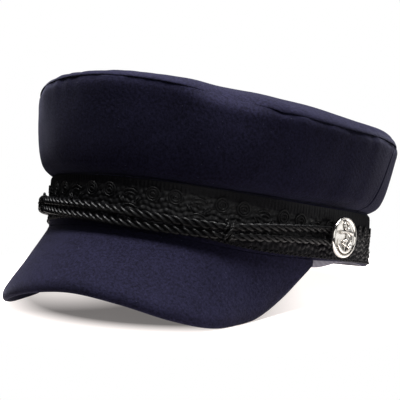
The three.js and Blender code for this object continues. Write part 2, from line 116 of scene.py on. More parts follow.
# Rear seams: angle at the foot and at the top, and how far the cloth rolls in
REAR_SEAM_FOOT = 99.0
REAR_SEAM_TOP = 108.5
REAR_SEAM_ROLL = 1.6
# A sewn seam is shut: the panels stop this close to each other, so that no light shows between them
REAR_SEAM_GAP = 0.02
REAR_SEAM_CLEAR = math.degrees(REAR_SEAM_GAP / 2 / HALF_WIDTH)
# The wall lies calmer beside its rear seams
WALL_CALM_REACH = 6.0
WALL_CALM_LEAST = 0.3
# About how far one degree reaches round the wall
MM_PER_DEGREE = 1.8

# Top seam: how far its cloth rolls in, and how it draws in and puckers the wall below it
SEAM_ROLL = 1.0
SEAM_PULL = 0.45
SEAM_PULL_REACH = 5.0
WALL_PUCKER = 0.28
WALL_PUCKER_REACH = 6.0
# Waves of the pucker: how many round the cap, and where each starts
PUCKER_WAVES = [(31, 0.4), (47, 1.9), (53, 4.1), (67, 2.2)]
PUCKER_MOST = 2.4
# Tucks where the top seam is pinched: angle, spread, depth
SEAM_TUCKS = [(52, 2.2, 1.5), (-63, 3.0, 0.8), (131, 3.0, 0.8), (214, 3.0, 0.7)]
TUCK_REACH = 2.5
# Where the top seam lies soft and closes, its cloth rolled over in a wide curve
SOFT_SEAM = 37.0
SOFT_SEAM_HALF = 11.0
SOFT_SEAM_CALM = 5.0
SOFT_FOLD = 4.0
SOFT_FOLD_FROM = 0.82
SOFT_LAP = 0.3

# Top panel: a low dome, full toward its rim, which is puffed up above the seam and rolled down to it
TOP_WALL = 2.0
TOP_MIDDLE = 91.0
TOP_DOME_POWER = 1.6
TOP_FULLNESS = 0.45
TOP_FULLNESS_POWER = 8
TOP_REACH = 8.6
TOP_ROLL = 4.3
TOP_ROLL_FRONT = 2.4
TOP_ROLL_LOW_AT = 22.0
TOP_ROLL_LOW_POWER = 1.5
# Where the puffed rim stands higher: angle, spread, rise
TOP_ROLL_HILLS = [(55.6, 20.6, 1.25)]
# Its lap over the wall, and its share in the tucks and the pucker of the seam
TOP_LAP = 0.1
TOP_TUCK = 0.6
TOP_TUCK_REACH = 3.0
TOP_PUCKER = 0.35
TOP_PUCKER_REACH = 7.0
TOP_PUCKER_FADE = 2.0
TOP_CALM_REACH = 10.0
# About the distance from the panel's middle to its rim
RIM_REACH = 100.0
# Rings of points on its upper face, by share of that distance, closer together toward the rim
TOP_CENTRE = 0.03
TOP_NEAR_RIM = np.array([20, 16, 12, 9, 6, 4, 2, 1, 0.4, 0]) / 1000
TOP_RINGS = np.concatenate([
    np.linspace(TOP_CENTRE, 0.88, 26), np.linspace(0.895, 0.975, 10), 1 - TOP_NEAR_RIM,
])
# Its under side stops short of the rim
TOP_UNDER_RINGS = 10
TOP_UNDER_REACH = 0.995

# Peak: its outer edge from the middle to the end on the band, in even shares: to the side, forward, down
PEAK_EDGE = [
    (0.0, 132.8, 28.4), (29.0, 129.1, 31.3), (52.7, 117.1, 36.5), (66.3, 96.0, 38.9),
    (70.7, 68.9, 35.1), (73.3, 44.0, 22.6), (82.8, 26.0, -0.4),
]
PEAK_WALL = 3.0
# Angle of its end on the band, and the share of the way there at which it is cut off
PEAK_END = 75.6
PEAK_LAST = 0.97
PEAK_STEPS = 161
PEAK_SIDESTEP = 0.01
# How far its face bows up in the middle, and how full the cloth stands on it away from the band
PEAK_BOW = 1.0
PEAK_BOW_POWER = 1.7
PEAK_FULL = 1.7
PEAK_FULL_REACH = 7.0
# Reach of the rolled edge, and the largest shares of the peak's depth that its roll and its rounding take
PEAK_EDGE_REACH = 6.0
PEAK_ROLL_SHARE = 0.4
PEAK_ROUND_SHARE = 0.3
PEAK_ROOT = 0.6
# The root's turned-in edge under the band: distance out, depth below the band
PEAK_TUCK = 2.4
PEAK_TUCK_GAP = GAP + 0.15
PEAK_TURNED = [(-PEAK_TUCK, PEAK_WALL), (-PEAK_TUCK, PEAK_TUCK_GAP), (0.0, PEAK_TUCK_GAP)]

# Steps in which the distance round the band is summed up
ARC_STEPS = 3600

# Braid: where it lies above the band's lower edge, and how wide and thick it is
BRAID_ABOVE_FRONT = 4.6
BRAID_ABOVE_SIDE = 1.8
BRAID_WIDTH = 22.5
BRAID_WIDER_SIDE = 4.2
BRAID_THICK = 1.1
# Where the braid's lower edge hangs lower: angle, spread, drop; and how far up it is stretched for that
BRAID_SAGS = [(50, 25, 3.5)]
BRAID_SAG_REACH = 7.0
# Its woven ground: points round it and across it, wavy rows of unevenly tight blobs, and upright ribs above
BRAID_STEPS = 1000
BRAID_LINES = 50
BRAID_BACK_EVERY = 7
BRAID_REPEATS = 17
BRAID_ROW = 2.9
BRAID_WAVE = 0.8
BRAID_WAVES = 3
BRAID_BLOB = 3.2
BLOB_RISE = 1.05
BLOB_POWER = 0.8
BLOB_SEED = 21
BLOB_TABLE = (400, 20)
BLOB_LEAST = 0.45
BRAID_RIB = 2.1
RIB_RISE = 0.40
RIB_FADE = 1.5
BRAID_SATIN_FROM = 5.8
BRAID_RIBS_FROM = 18.0
GROUND_LEAST = 0.05
GROUND_EDGE = 0.8
GROUND_EDGE_LEAST = 0.3
# The ground is sunk round each scroll and bow, to this share of its rise
SUNK_LEAST = 0.15
SUNK_POWER = 3
SCROLL_CLEAR = 4.6
BOW_CLEAR_LONG = 4.4
BOW_CLEAR_HIGH = 2.0
# Gimp cord laid on the ground: how far out it lies, and how far its rings are sunk and its ends tucked in
GIMP_RADIUS = 0.48
GIMP_RISE = GAP + 0.85
GIMP_SINK = 0.25
GIMP_TUCK = 0.5
GIMP_RING_STEPS = 28
GIMP_RING_SIDES = 8
GIMP_BOW_STEPS = 13
GIMP_BOW_SIDES = 6
# Scrolls: pairs of double rings, each with a small bow in its eye (drop, half length, rise)
SCROLL_HEIGHT = 15.6
SCROLL_APART = 11.5
SCROLL_PLACE = 42.2
SCROLL_RADII = (3.4, 2.1)
SCROLL_EYE = (0.5, 1.2, 0.9)
# Bows between the pairs, a larger over a smaller one (drop, half length, rise), and strokes beside them
BOW_HEIGHTS = (15.4, 7.6)
BOWS = [(0.0, 3.7, 1.5), (1.3, 2.59, 0.9)]
STROKE_RADIUS = 0.384
STROKE_STEPS = 7
STROKE_LOW = 10.2
STROKE_HIGH = 12.6
STROKE_LEAN = 0.8
STROKES_ASIDE = (3.2, 5.0)
# Thinner cord that zigzags along the lower edge
EDGE_ABOVE = 0.3
EDGE_PITCH = 3.2
EDGE_SWING = 0.45
EDGE_RISE = GAP + 0.55
EDGE_RIPPLE = 0.12
EDGE_RADIUS = 0.36
EDGE_STEPS = 8
EDGE_SIDES = 5

# Cord: three twisted strands in a loop, thicker over the front, tighter toward the wearer's right
CORD_RADIUS = 1.95
CORD_SWELL = 0.35
CORD_SWELL_HALF = 66.0
CORD_SWELL_FADE = 12.0
CORD_LEAD = 15.0
CORD_TIGHTER = 0.2
CORD_TIGHTER_FROM = 20.0
CORD_TIGHTER_FADE = 50.0
CORD_RUN_STEPS = 420
CORD_TURN_STEPS = 16
CORD_STEPS = 1500
STRANDS = 3
STRAND_RADIUS = 0.90
YARNS = 6
YARN_RIDGE = 0.07
YARN_SIDES = 3
# Heights of its upper and lower run by angle
CORD_RUNS = [
    (-81.5, 17.2, 10.6), (-68, 17.2, 11.3), (-54, 17.2, 12.3), (-41, 17.3, 12.7), (-32, 17.0, 12.3),
    (-20, 16.6, 11.2), (-5, 16.0, 10.1), (8, 14.5, 8.7), (20, 13.0, 7.7), (32, 12.0, 7.3),
    (41, 12.0, 7.3), (55, 14.2, 8.9), (69, 16.3, 10.1), (81.5, 17.2, 10.6),
]
UPPER_RUN = 1
LOWER_RUN = 2

# Knots: they lift the cord, pinch it thin, and are wound of thinner cord
KNOT_PLACES = {"knot_left": 41.0, "knot_right": -37.5}
KNOT_LIFT = 0.5
KNOT_SPREAD = 8.0
KNOT_PINCH = 0.28
KNOT_PINCH_SPREAD = 3.0
KNOT_REACH = 1.95
KNOT_TURNS = (-1.4, 1.4)
KNOT_SLANT = 1.2
KNOT_RADIUS = 1.0
KNOT_STRAND = 0.44
KNOT_FLAT = 0.75
KNOT_TWISTS = 3
KNOT_STEPS = 60
# The strand across both runs: how far past them it reaches, how it slants, and how far it stands off
ACROSS_PAST = 1.0
ACROSS_SLANT = 1.6
ACROSS_LIFT = 0.55
# The tie's loop above the upper run
LOOP_ABOVE = 0.6
LOOP_ASIDE = 1.4
LOOP_RADIUS = 0.9
LOOP_THICK = 0.7
LOOP_STEPS = 24
LOOP_SIDES = 8

# Buttons: turned profile from the back outward (radius, rise), and where they sit
BUTTON_ANGLE = 81.5
BUTTON_HEIGHT = 13.9
BUTTON_BACK = 6.0
BUTTON_SHANK = 0.95
BUTTON_STEPS = 96
BUTTON_PROFILE = [
    (9.6, 0.0), (10.6, 0.3), (11.0, 0.9), (11.05, 1.6), (10.85, 2.3), (10.45, 2.75), (10.0, 2.9),
    (9.6, 2.75), (9.3, 2.35), (9.1, 2.0), (8.8, 1.95), (6.4, 2.35), (4.0, 2.75), (2.0, 3.0), (0.4, 3.1),
]
# Its last rows make the dulled field
BUTTON_FIELD_RINGS = 6
# Anchor in relief, drawn in millimetres and then enlarged
ANCHOR_SIZE = 1.22
RELIEF_SIDES = 10
RING_RADIUS = 1.7
RING_HEIGHT = 4.9
RING_THICK = 0.55
STOCK_HALF = 4.6
STOCK_HEIGHT = 2.3
STOCK_DROOP = 0.3
STOCK_THICK = 0.60
STOCK_END = 0.25
SHANK_TOP = 3.4
SHANK_FOOT = -6.3
SHANK_THICK = (0.60, 0.90)
ARM_RADIUS = 5.3
ARM_HEIGHT = -1.0
ARM_SWEEP = 66
ARM_THICK = 0.60
ARM_FULLER = 0.3
FLUKE_TIP = (4.95, -2.6)
FLUKE_WAY = (0.3, 0.95)
FLUKE_LENGTH = 3.6
FLUKE_HALF = 1.5
# Shares of a fluke's length ahead of its middle, back to its barbs and back to its notch
FLUKE_AHEAD = 0.45
FLUKE_BARBS = 0.55
FLUKE_NOTCH = 0.3
FLUKE_SUNK = 0.2
FLUKE_SIDE = 0.6
FLUKE_RIDGE = 0.85
# Rope that swings down across the shank: top, length, swing, how often it crosses, thickness and twist
ROPE_TOP = 1.6
ROPE_DOWN = 6.6
ROPE_SWING = 2.9
ROPE_CROSSINGS = 1.2
ROPE_START = 0.06
ROPE_WIDENS = (0.55, 0.5)
ROPE_THICK = 0.48
ROPE_TWIST = (0.06, 60)
# How far the middle of each part lies above the button's face
RING_LIFT = 0.35
STOCK_LIFT = 0.45
SHANK_LIFT = 0.3
ARM_LIFT = 0.35
ROPE_LIFT = 0.55
ROPE_WEAVE = 0.3

# Camera at the photograph's angle, for a square frame
CAMERA_TURN = math.radians(32.186)
CAMERA_RISE = math.radians(7.668)
CAMERA_DISTANCE = 900.0
CAMERA_LENS = 142.41
CAMERA_AIM = (0.0, 5.4, 59.4)
CAMERA_ASIDE = -6.0
CAMERA_UP = -10.135

# Studio, in metres and watts
CAMERA_NEAREST = 0.05
FLOOR_RADIUS = 0.17
FLOOR_DEPTH = 0.0002
FLOOR_STEPS = 96
GLOW_TURN = math.radians(-32.186)
BACKDROP_LIGHT = 0.03
LIGHT_AIM = (0, 0, 0.05)
# Soft lights: place, width, length, power
LIGHTS = {
    "overhead_softbox": ((0.0, 0.05, 1.4), 1.0, 1.0, 102),
    "front_softbox": ((0.85, -0.95, 0.5), 1.1, 0.9, 5.0),
    "back_softbox": ((0.0, 0.9, 1.1), 1.4, 0.7, 2),
    "side_softbox": ((1.15, 0.8, 0.22), 1.2, 0.9, 4.4),
}


# Curves and tables

def smooth(rows, place, column=1):
    """Value of a column at a place between the rows of a table, on a smooth curve through them."""
    table = np.asarray(rows, float)
    keys = table[:, 0]
    values = table[:, column]
    slopes = np.gradient(values)
    slopes[1:-1] = (values[2:] - values[:-2]) / (keys[2:] - keys[:-2])
    slopes[0] = (values[1] - values[0]) / (keys[1] - keys[0])
    slopes[-1] = (values[-1] - values[-2]) / (keys[-1] - keys[-2])
    place = np.clip(place, keys[0], keys[-1])
    low = np.clip(np.searchsorted(keys, place, side="right") - 1, 0, len(keys) - 2)
    span = keys[low + 1] - keys[low]
    t = (place - keys[low]) / span
    stay = (1 + 2 * t) * (1 - t) ** 2
    leave = t * (1 - t) ** 2 * span * slopes[low]
    arrive = t ** 2 * (t - 1) * span * slopes[low + 1]
    return values[low] * stay + leave + values[low + 1] * (1 - stay) + arrive


def uneven(points, depth, longest, seed):
    """Slow unevenness of cloth at each point: a sum of waves, about as deep and as long as given."""
    rng = np.random.default_rng(seed)
    total = np.zeros(points.shape[:-1])
    for _ in range(WAVE_COUNT):
        way = rng.normal(size=3)
        way /= np.linalg.norm(way)
        length = longest * rng.uniform(WAVE_SHORTEST, 1.0)
        total += np.sin(points @ way * (2 * math.pi / length) + rng.uniform(0, 2 * math.pi))
    return depth * (total / math.sqrt(WAVE_COUNT))


def rolled(distance, reach, depth):
    """How far cloth has rolled in at a distance from its seam: a quarter oval of a reach and a depth."""
    share = np.clip(1 - distance / np.maximum(reach, LEAST_REACH), 0, 1)
    return depth * (1 - np.sqrt(1 - share ** 2))


def degrees_from(place, angle):
    """Degrees from a place to an angle, the short way round."""
    return (angle - place + 180) % 360 - 180


def hills(angle, table):
    """Sum of smooth hills round the cap from a table of angle, spread and height."""
    return sum(high * np.exp(-(degrees_from(place, angle) / spread) ** 2) for place, spread, high in table)


def bumps(angle, share, dents):
    """Depth of a table of soft dents at an angle and a share of the wall's height."""
    depth = 0
    for place, spread, height, reach, deep in dents:
        across = degrees_from(place, angle) / spread
        depth = depth + deep * np.exp(-across ** 2 - ((share - height) / reach) ** 2)
    return depth


def full_turn(count):
    """Even steps of angle once round, in radians."""
    return np.arange(count) * 2 * math.pi / count


def round_cap(count):
    """Even steps of angle once round the cap, in degrees."""
    return np.arange(count) * (360 / count)


# Shape of the cap

def front_share(angle):
    """1 at the front, falling to 0 at the sides, and 0 behind."""
    return np.maximum(0, np.cos(np.radians(angle)))


def outward(angle):
    """Way out from the band's oval at an angle."""
    side = np.sin(np.radians(angle)) / HALF_WIDTH
    forward = -np.cos(np.radians(angle)) / HALF_LENGTH
    size = np.hypot(side, forward)
    return np.stack([side / size, forward / size, np.zeros_like(size)], -1)


def ring_point(angle, out, height):
    """Point at an angle, a distance out from the band's oval and a height."""
    angle, out, height = np.broadcast_arrays(angle, out, height)
    oval = [HALF_WIDTH * np.sin(np.radians(angle)), -HALF_LENGTH * np.cos(np.radians(angle)), height]
    return np.stack(oval, -1) + outward(angle) * out[..., None]


def band_shift(angle, height):
    """How far out the band stands at a height, as it draws in and leans forward."""
    return (BAND_FORWARD * np.cos(np.radians(angle)) - BAND_TAPER) * height / BAND_HEIGHT


def band_point(angle, out, height):
    """Point at an angle, a distance out from the leaning band and a height."""
    return ring_point(angle, out + band_shift(angle, height), height)


def band_arch(angle):
    """Height of the plain arch along which the band is cut over the peak."""
    return BAND_FRONT_ARCH * front_share(angle) ** 2


def band_low(angle):
    """Height of the band's lower edge."""
    return band_arch(angle) - hills(angle, BAND_SAGS)


def braid_low(angle):
    """Height of the braid's lower edge, before it sags."""
    above = BRAID_ABOVE_SIDE + (BRAID_ABOVE_FRONT - BRAID_ABOVE_SIDE) * front_share(angle)
    return band_arch(angle) + above


def band_high(angle):
    """Height of the band's upper edge."""
    return BAND_HEIGHT + BAND_FRONT_RISE * front_share(angle) ** BAND_FRONT_POWER


def seam_height(angle):
    """Height of the top seam."""
    front = SEAM_FRONT_RISE * front_share(angle) ** SEAM_FRONT_POWER
    back = SEAM_BACK_DROP * front_share(angle + 180) ** SEAM_BACK_POWER
    return SEAM_SIDE_HEIGHT + front - back


def wall_out(angle, share):
    """How far the crown wall stands out at a share of its height."""
    start = band_shift(angle, band_high(angle) + GAP)
    fold = np.clip((share - SOFT_FOLD_FROM) / (1 - SOFT_FOLD_FROM), 0, 1) ** 2
    fold = fold * SOFT_FOLD * (1 - seam_sharpness(angle))
    return start + smooth(WALL_OUTLINE, share) - bumps(angle, share, WALL_DENTS) - fold


def wall_height(angle, share):
    """Height of the crown wall at a share of the way up to the top seam."""
    foot = band_high(angle) + GAP
    return foot + (seam_height(angle) - foot) * share


def seam_sharpness(angle):
    """1 along a sharp seam, 0 where the seam lies soft."""
    return 1 - np.exp(-(degrees_from(SOFT_SEAM, angle) / SOFT_SEAM_HALF) ** 4)


def top_roll(angle):
    """How high the top panel's puffed rim stands above its seam."""
    low = (TOP_ROLL_FRONT - TOP_ROLL) * front_share(angle - TOP_ROLL_LOW_AT) ** TOP_ROLL_LOW_POWER
    return TOP_ROLL + low + hills(angle, TOP_ROLL_HILLS)


def seam_pucker(angle):
    """Small pucker of the cloth along the top seam, about -1 to 1."""
    return sum(np.sin(np.radians(angle) * count + start) for count, start in PUCKER_WAVES) / PUCKER_MOST


def standing(points):
    """Points of the upright cap, in mm, where the cap stands, in metres, pressed flat on the floor."""
    x, y, z = np.moveaxis(np.asarray(points, float), -1, 0)
    back = y * math.cos(LEAN) + z * math.sin(LEAN) + CENTRE_SHIFT
    high = z * math.cos(LEAN) - y * math.sin(LEAN) + HALF_LENGTH * math.sin(LEAN) - FLOOR_DROP
    return np.stack([x, back, np.maximum(high, 0)], -1) * MM


# Meshes

def lofted(loops, joined=False, capped=True):
    """Points and faces of a skin over rows of points, each row a closed loop; joined rows run round."""
    rows, count = loops.shape[:2]
    row = np.arange(rows if joined else rows - 1)[:, None]
    place = np.arange(count)[None, :]
    after = (row + 1) % rows
    beside = (place + 1) % count
    corners = [row * count + place, after * count + place, after * count + beside, row * count + beside]
    faces = np.stack(corners, -1).reshape(-1, 4).tolist()
    if capped and not joined:
        faces.append(list(range(count)))
        faces.append(list(range((rows - 1) * count, rows * count)))
    return loops.reshape(-1, 3), faces


def directions(path, closed=True):
    """Way along a path at each of its points."""
    if closed:
        along = np.roll(path, -1, 0) - np.roll(path, 1, 0)
    else:
        along = np.gradient(path, axis=0)
    return along / np.linalg.norm(along, axis=1)[:, None]


def squared(out, along):
    """Ways out, turned square to the ways along."""
    facing = out - along * np.sum(out * along, 1)[:, None]
    return facing / np.linalg.norm(facing, axis=1)[:, None]


def tube(path, out, radius, sides, closed=False):
    """Round rod along a path; out is the way its first side faces."""
    along = directions(path, closed)
    facing = squared(out, along)
    beside = np.cross(along, facing)
    turn = full_turn(sides)[:, None]
    radius = np.broadcast_to(radius, len(path))[:, None, None]
    reach = facing[:, None] * np.cos(turn) + beside[:, None] * np.sin(turn)
    return lofted(path[:, None] + radius * reach, joined=closed)


def twisted(path, out, twist, radius, strand, flat=1.0):
    """Strands twisted round a closed path, with fine yarn ridges; flat thins them the way out faces."""
    along = directions(path)
    out = squared(out, along)
    up = np.cross(along, out)
    round_strand = full_turn(YARNS * YARN_SIDES)
    yarn = 1 + YARN_RIDGE * np.cos(YARNS * round_strand)
    radius = np.broadcast_to(radius, len(path))[:, None]
    strand = np.broadcast_to(strand, len(path))[:, None]
    parts = []
    for place in range(STRANDS):
        phase = (twist + 2 * math.pi * place / STRANDS)[:, None]
        to_out = (radius - strand) * np.cos(phase) + strand * yarn * np.cos(phase + round_strand)
        to_up = (radius - strand) * np.sin(phase) + strand * yarn * np.sin(phase + round_strand)
        loops = path[:, None] + out[:, None] * to_out[..., None] * flat + up[:, None] * to_up[..., None]
        parts.append(lofted(loops, joined=True))
    return parts


def piece(name, groups, crease=40):
    """One object of the cap, from groups of a material and parts of points and faces. It stands for the CAD
    node of the same name."""
    points = []
    faces = []
    kinds = []
    first = 0
    for kind, (_, parts) in enumerate(groups):
        for part_points, part_faces in parts:
            points.append(part_points)
            faces += [[index + first for index in face] for face in part_faces]
            kinds += [kind] * len(part_faces)
            first += len(part_points)
    mesh = bpy.data.meshes.new(name)
    mesh.from_pydata(standing(np.concatenate(points)).tolist(), [], faces)
    for material, _ in groups:
        mesh.materials.append(material)
    mesh.polygons.foreach_set("material_index", kinds)
    shell = bmesh.new()
    shell.from_mesh(mesh)
    bmesh.ops.remove_doubles(shell, verts=shell.verts, dist=WELD)
    bmesh.ops.recalc_face_normals(shell, faces=shell.faces)
    shell.to_mesh(mesh)
    shell.free()
    mesh.shade_smooth()
    mesh.set_sharp_from_angle(angle=math.radians(crease))
    made = bpy.data.objects.new(name + "_fine", mesh)
    bpy.context.collection.objects.link(made)
    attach(made, "root")
    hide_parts(name)
    return made


# Materials

def colour(code):
    """sRGB hex to linear red, green, blue and alpha."""
    channels = [int(code[i:i + 2], 16) / 255 for i in (1, 3, 5)]
    linear = [c / 12.92 if c <= 0.04045 else ((c + 0.055) / 1.055) ** 2.4 for c in channels]
    return (*linear, 1.0)


def connect(tree, node, inputs):
    """Gives each input of a node its value, or links it to another node's output."""
    for name, value in inputs.items():
        if isinstance(value, bpy.types.NodeSocket):
            tree.links.new(value, node.inputs[name])
        else:
            node.inputs[name].default_value = value


def add(tree, kind, inputs=None, stops=(), **settings):
    """A node with its settings and its inputs, and with a ramp's stops as positions and sRGB hex."""
    made = tree.nodes.new(kind)
    for name, value in settings.items():
        setattr(made, name, value)
    for index, (position, code) in enumerate(stops):
        made.color_ramp.elements[index].position = position
        made.color_ramp.elements[index].color = colour(code)
    connect(tree, made, inputs or {})
    return made


def new_material(name):
    """A material with its node tree, its main shader and the place of each point on the piece."""
    material = bpy.data.materials.new(name)
    material.use_nodes = True
    tree = material.node_tree
    place = add(tree, "ShaderNodeTexCoord").outputs["Object"]
    return material, tree, tree.nodes["Principled BSDF"], place


def per_metre(size):
    """Texture scale for a pattern whose features are this many millimetres across."""
    return 1 / (size * MM)


# A wave texture at scale 1 draws this many waves in a metre
WAVES_PER_UNIT = 2 * math.pi


def brushed_wool_cloth():
    """Navy wool-blend cloth, woven and brushed: a matt, soft-napped face that pales at grazing angles, with
    slightly uneven dye and a few specks of pale lint."""
    material, tree, shader, place = new_material("brushed_navy_wool_cloth")
    dye = add(tree, "ShaderNodeTexNoise", {"Vector": place, "Scale": per_metre(24), "Detail": 3.0})
    # The nap's fibres are finer than a tenth of a millimetre; they are drawn at 1.3 mm so that they show
    nap = add(tree, "ShaderNodeTexNoise", {
        "Vector": place, "Scale": per_metre(1.3), "Detail": 5.0, "Roughness": 0.75,
    }).outputs["Fac"]
    # The nap gives most of the tone and the dye a little of it
    tone = add(tree, "ShaderNodeMath", {0: dye.outputs["Fac"], 1: 0.12}, operation="MULTIPLY")
    both = add(tree, "ShaderNodeMath", {0: nap, 1: 0.88, 2: tone.outputs[0]}, operation="MULTIPLY_ADD")
    tones = [(0.39, "#0d0c17"), (0.61, "#1b1a2c")]
    shades = add(tree, "ShaderNodeValToRGB", {"Fac": both.outputs[0]}, tones)
    # Lint: a speck of about 0.3 mm in each 5 mm square
    lint = add(tree, "ShaderNodeTexVoronoi", {"Vector": place, "Scale": per_metre(5.0), "Randomness": 1.0})
    speck = add(tree, "ShaderNodeMapRange", {
        "Value": lint.outputs["Distance"], "From Min": 0.045, "From Max": 0.02,
    })
    # A mix node's colours are its inputs 6 and 7, and the mixed colour is its output 2
    dyed = add(tree, "ShaderNodeMix", {
        "Factor": speck.outputs["Result"], 6: shades.outputs["Color"], 7: colour("#4a4a58"),
    }, data_type="RGBA")
    # Twill ribs are 0.5 mm apart on the real cloth; drawn at 1.1 mm
    rib = add(tree, "ShaderNodeTexWave", {
        "Vector": place, "Scale": per_metre(1.1) / WAVES_PER_UNIT, "Distortion": 3.0, "Detail": 2.0,
    }, bands_direction="DIAGONAL")
    ribbed = add(tree, "ShaderNodeBump", {
        "Height": rib.outputs["Fac"], "Strength": 0.10, "Distance": 0.3 * MM,
    })
    napped = add(tree, "ShaderNodeBump", {
        "Height": nap, "Strength": 0.5, "Distance": 0.6 * MM, "Normal": ribbed.outputs["Normal"],
    })
    connect(tree, shader, {
        "Base Color": dyed.outputs[2], "Normal": napped.outputs["Normal"], "Roughness": 0.92, "IOR": 1.5,
        "Specular IOR Level": 0.04,
        "Sheen Weight": 0.14, "Sheen Roughness": 0.34, "Sheen Tint": colour("#b4b4ce"),
    })
    return material


def rayon_weave():
    """Black rayon braid, woven: a dull black ground whose yarns catch a little light."""
    material, tree, shader, place = new_material("black_rayon_weave")
    # The yarns are 0.4 mm apart on the real braid; drawn at 0.8 mm
    yarn = add(tree, "ShaderNodeTexNoise", {
        "Vector": place, "Scale": per_metre(0.8), "Detail": 3.0,
    }).outputs["Fac"]
    shades = add(tree, "ShaderNodeValToRGB", {"Fac": yarn}, [(0.35, "#060608"), (0.70, "#151418")])
    woven = add(tree, "ShaderNodeBump", {"Height": yarn, "Strength": 0.4, "Distance": 0.4 * MM})
    connect(tree, shader, {
        "Base Color": shades.outputs["Color"], "Normal": woven.outputs["Normal"],
        "Roughness": 0.45, "IOR": 1.52, "Specular IOR Level": 0.08,
    })
    return material


def rayon_gimp():
    """Black rayon gimp, wound round a core: a satin gloss that runs along each raised cord."""
    material, tree, shader, place = new_material("black_rayon_wound_gimp")
    # The winding's threads are 0.2 mm apart on the real gimp; drawn at 0.8 mm
    thread = add(tree, "ShaderNodeTexNoise", {
        "Vector": place, "Scale": per_metre(0.8), "Detail": 3.0,
    }).outputs["Fac"]
    shades = add(tree, "ShaderNodeValToRGB", {"Fac": thread}, [(0.35, "#070709"), (0.70, "#161618")])
    gloss = add(tree, "ShaderNodeMapRange", {"Value": thread, "To Min": 0.36, "To Max": 0.54})
    connect(tree, shader, {
        "Base Color": shades.outputs["Color"], "Roughness": gloss.outputs["Result"],
        "IOR": 1.52, "Specular IOR Level": 0.19,
    })
    return material


def satin_cord():
    """Black rayon cord, twisted from satin yarns: black grooves and a soft grey gloss along each strand."""
    material, tree, shader, place = new_material("black_satin_twisted_cord")
    # Uneven shades along the yarns, in stretches of about 1.2 mm
    yarn = add(tree, "ShaderNodeTexNoise", {
        "Vector": place, "Scale": per_metre(1.2), "Detail": 3.0,
    }).outputs["Fac"]
    shades = add(tree, "ShaderNodeValToRGB", {"Fac": yarn}, [(0.3, "#040405"), (0.75, "#0a0a0c")])
    gloss = add(tree, "ShaderNodeMapRange", {"Value": yarn, "To Min": 0.28, "To Max": 0.42})
    connect(tree, shader, {
        "Base Color": shades.outputs["Color"], "Roughness": gloss.outputs["Result"],
        "IOR": 1.52, "Specular IOR Level": 0.16,
    })
    return material


def cotton_lining():
    """Pale grey cotton twill, woven: matt, with fine slanting ribs, its grey painted darker as painted
    shade.
    """
    material, tree, shader, place = new_material("grey_cotton_twill")
    # Twill ribs are 0.6 mm apart on the real lining; drawn at 1.2 mm
    rib = add(tree, "ShaderNodeTexWave", {
        "Vector": place, "Scale": per_metre(1.2) / WAVES_PER_UNIT, "Distortion": 1.5, "Detail": 2.0,
    }, bands_direction="DIAGONAL").outputs["Fac"]
    # Painted shade: both greys are darker than the lining's own pale grey, so that it shows as shaded under
    # the band
    shades = add(tree, "ShaderNodeValToRGB", {"Fac": rib}, [(0, "#64626c"), (1, "#72707b")])
    woven = add(tree, "ShaderNodeBump", {"Height": rib, "Strength": 0.25, "Distance": 0.4 * MM})
    connect(tree, shader, {
        "Base Color": shades.outputs["Color"], "Normal": woven.outputs["Normal"],
        "Roughness": 0.85, "IOR": 1.5,
    })
    return material


def polished_nickel():
    """Nickel-plated cast metal, polished: bright and mirror-like, with a little wear."""
    material, tree, shader, place = new_material("polished_nickel_plate")
    # Rubbed spots are about 1.6 mm across
    wear = add(tree, "ShaderNodeTexNoise", {
        "Vector": place, "Scale": per_metre(1.6), "Detail": 4.0,
    }).outputs["Fac"]
    shades = add(tree, "ShaderNodeValToRGB", {"Fac": wear}, [(0.3, "#c0bbb4"), (0.7, "#e0dcd6")])
    gloss = add(tree, "ShaderNodeMapRange", {"Value": wear, "To Min": 0.08, "To Max": 0.18})
    connect(tree, shader, {
        "Base Color": shades.outputs["Color"], "Roughness": gloss.outputs["Result"], "Metallic": 1.0,
    })
    return material


def dulled_nickel():
    """Nickel-plated cast metal on the button's field, less polished: pale where it is open, and with painted
    shade beside the relief, dark where the relief would shade the field."""
    material, tree, shader, place = new_material("dulled_nickel_plate_painted_shade")
    # Painted shade: the field darkens within about 1.2 mm of the foot of the relief, as far as the relief
    # hides it
    unshaded_share = add(tree, "ShaderNodeAmbientOcclusion", {"Distance": 1.2 * MM}).outputs["AO"]
    shades = add(tree, "ShaderNodeValToRGB", {"Fac": unshaded_share}, [(0.50, "#161412"), (0.88, "#e6e2dc")])
    # Rubbed spots are about 1.2 mm across
    wear = add(tree, "ShaderNodeTexNoise", {
        "Vector": place, "Scale": per_metre(1.2), "Detail": 4.0,
    }).outputs["Fac"]
    gloss = add(tree, "ShaderNodeMapRange", {"Value": wear, "To Min": 0.20, "To Max": 0.34})
    connect(tree, shader, {
        "Base Color": shades.outputs["Color"], "Roughness": gloss.outputs["Result"], "Metallic": 1.0,
    })
    return material


# Pieces of cloth

def eased(count, close):
    """Even steps from -1 to 1 with closer steps added near both ends."""
    ends = np.asarray(close)
    return np.unique(np.concatenate([np.linspace(-1, 1, count), -1 + ends, 1 - ends]))


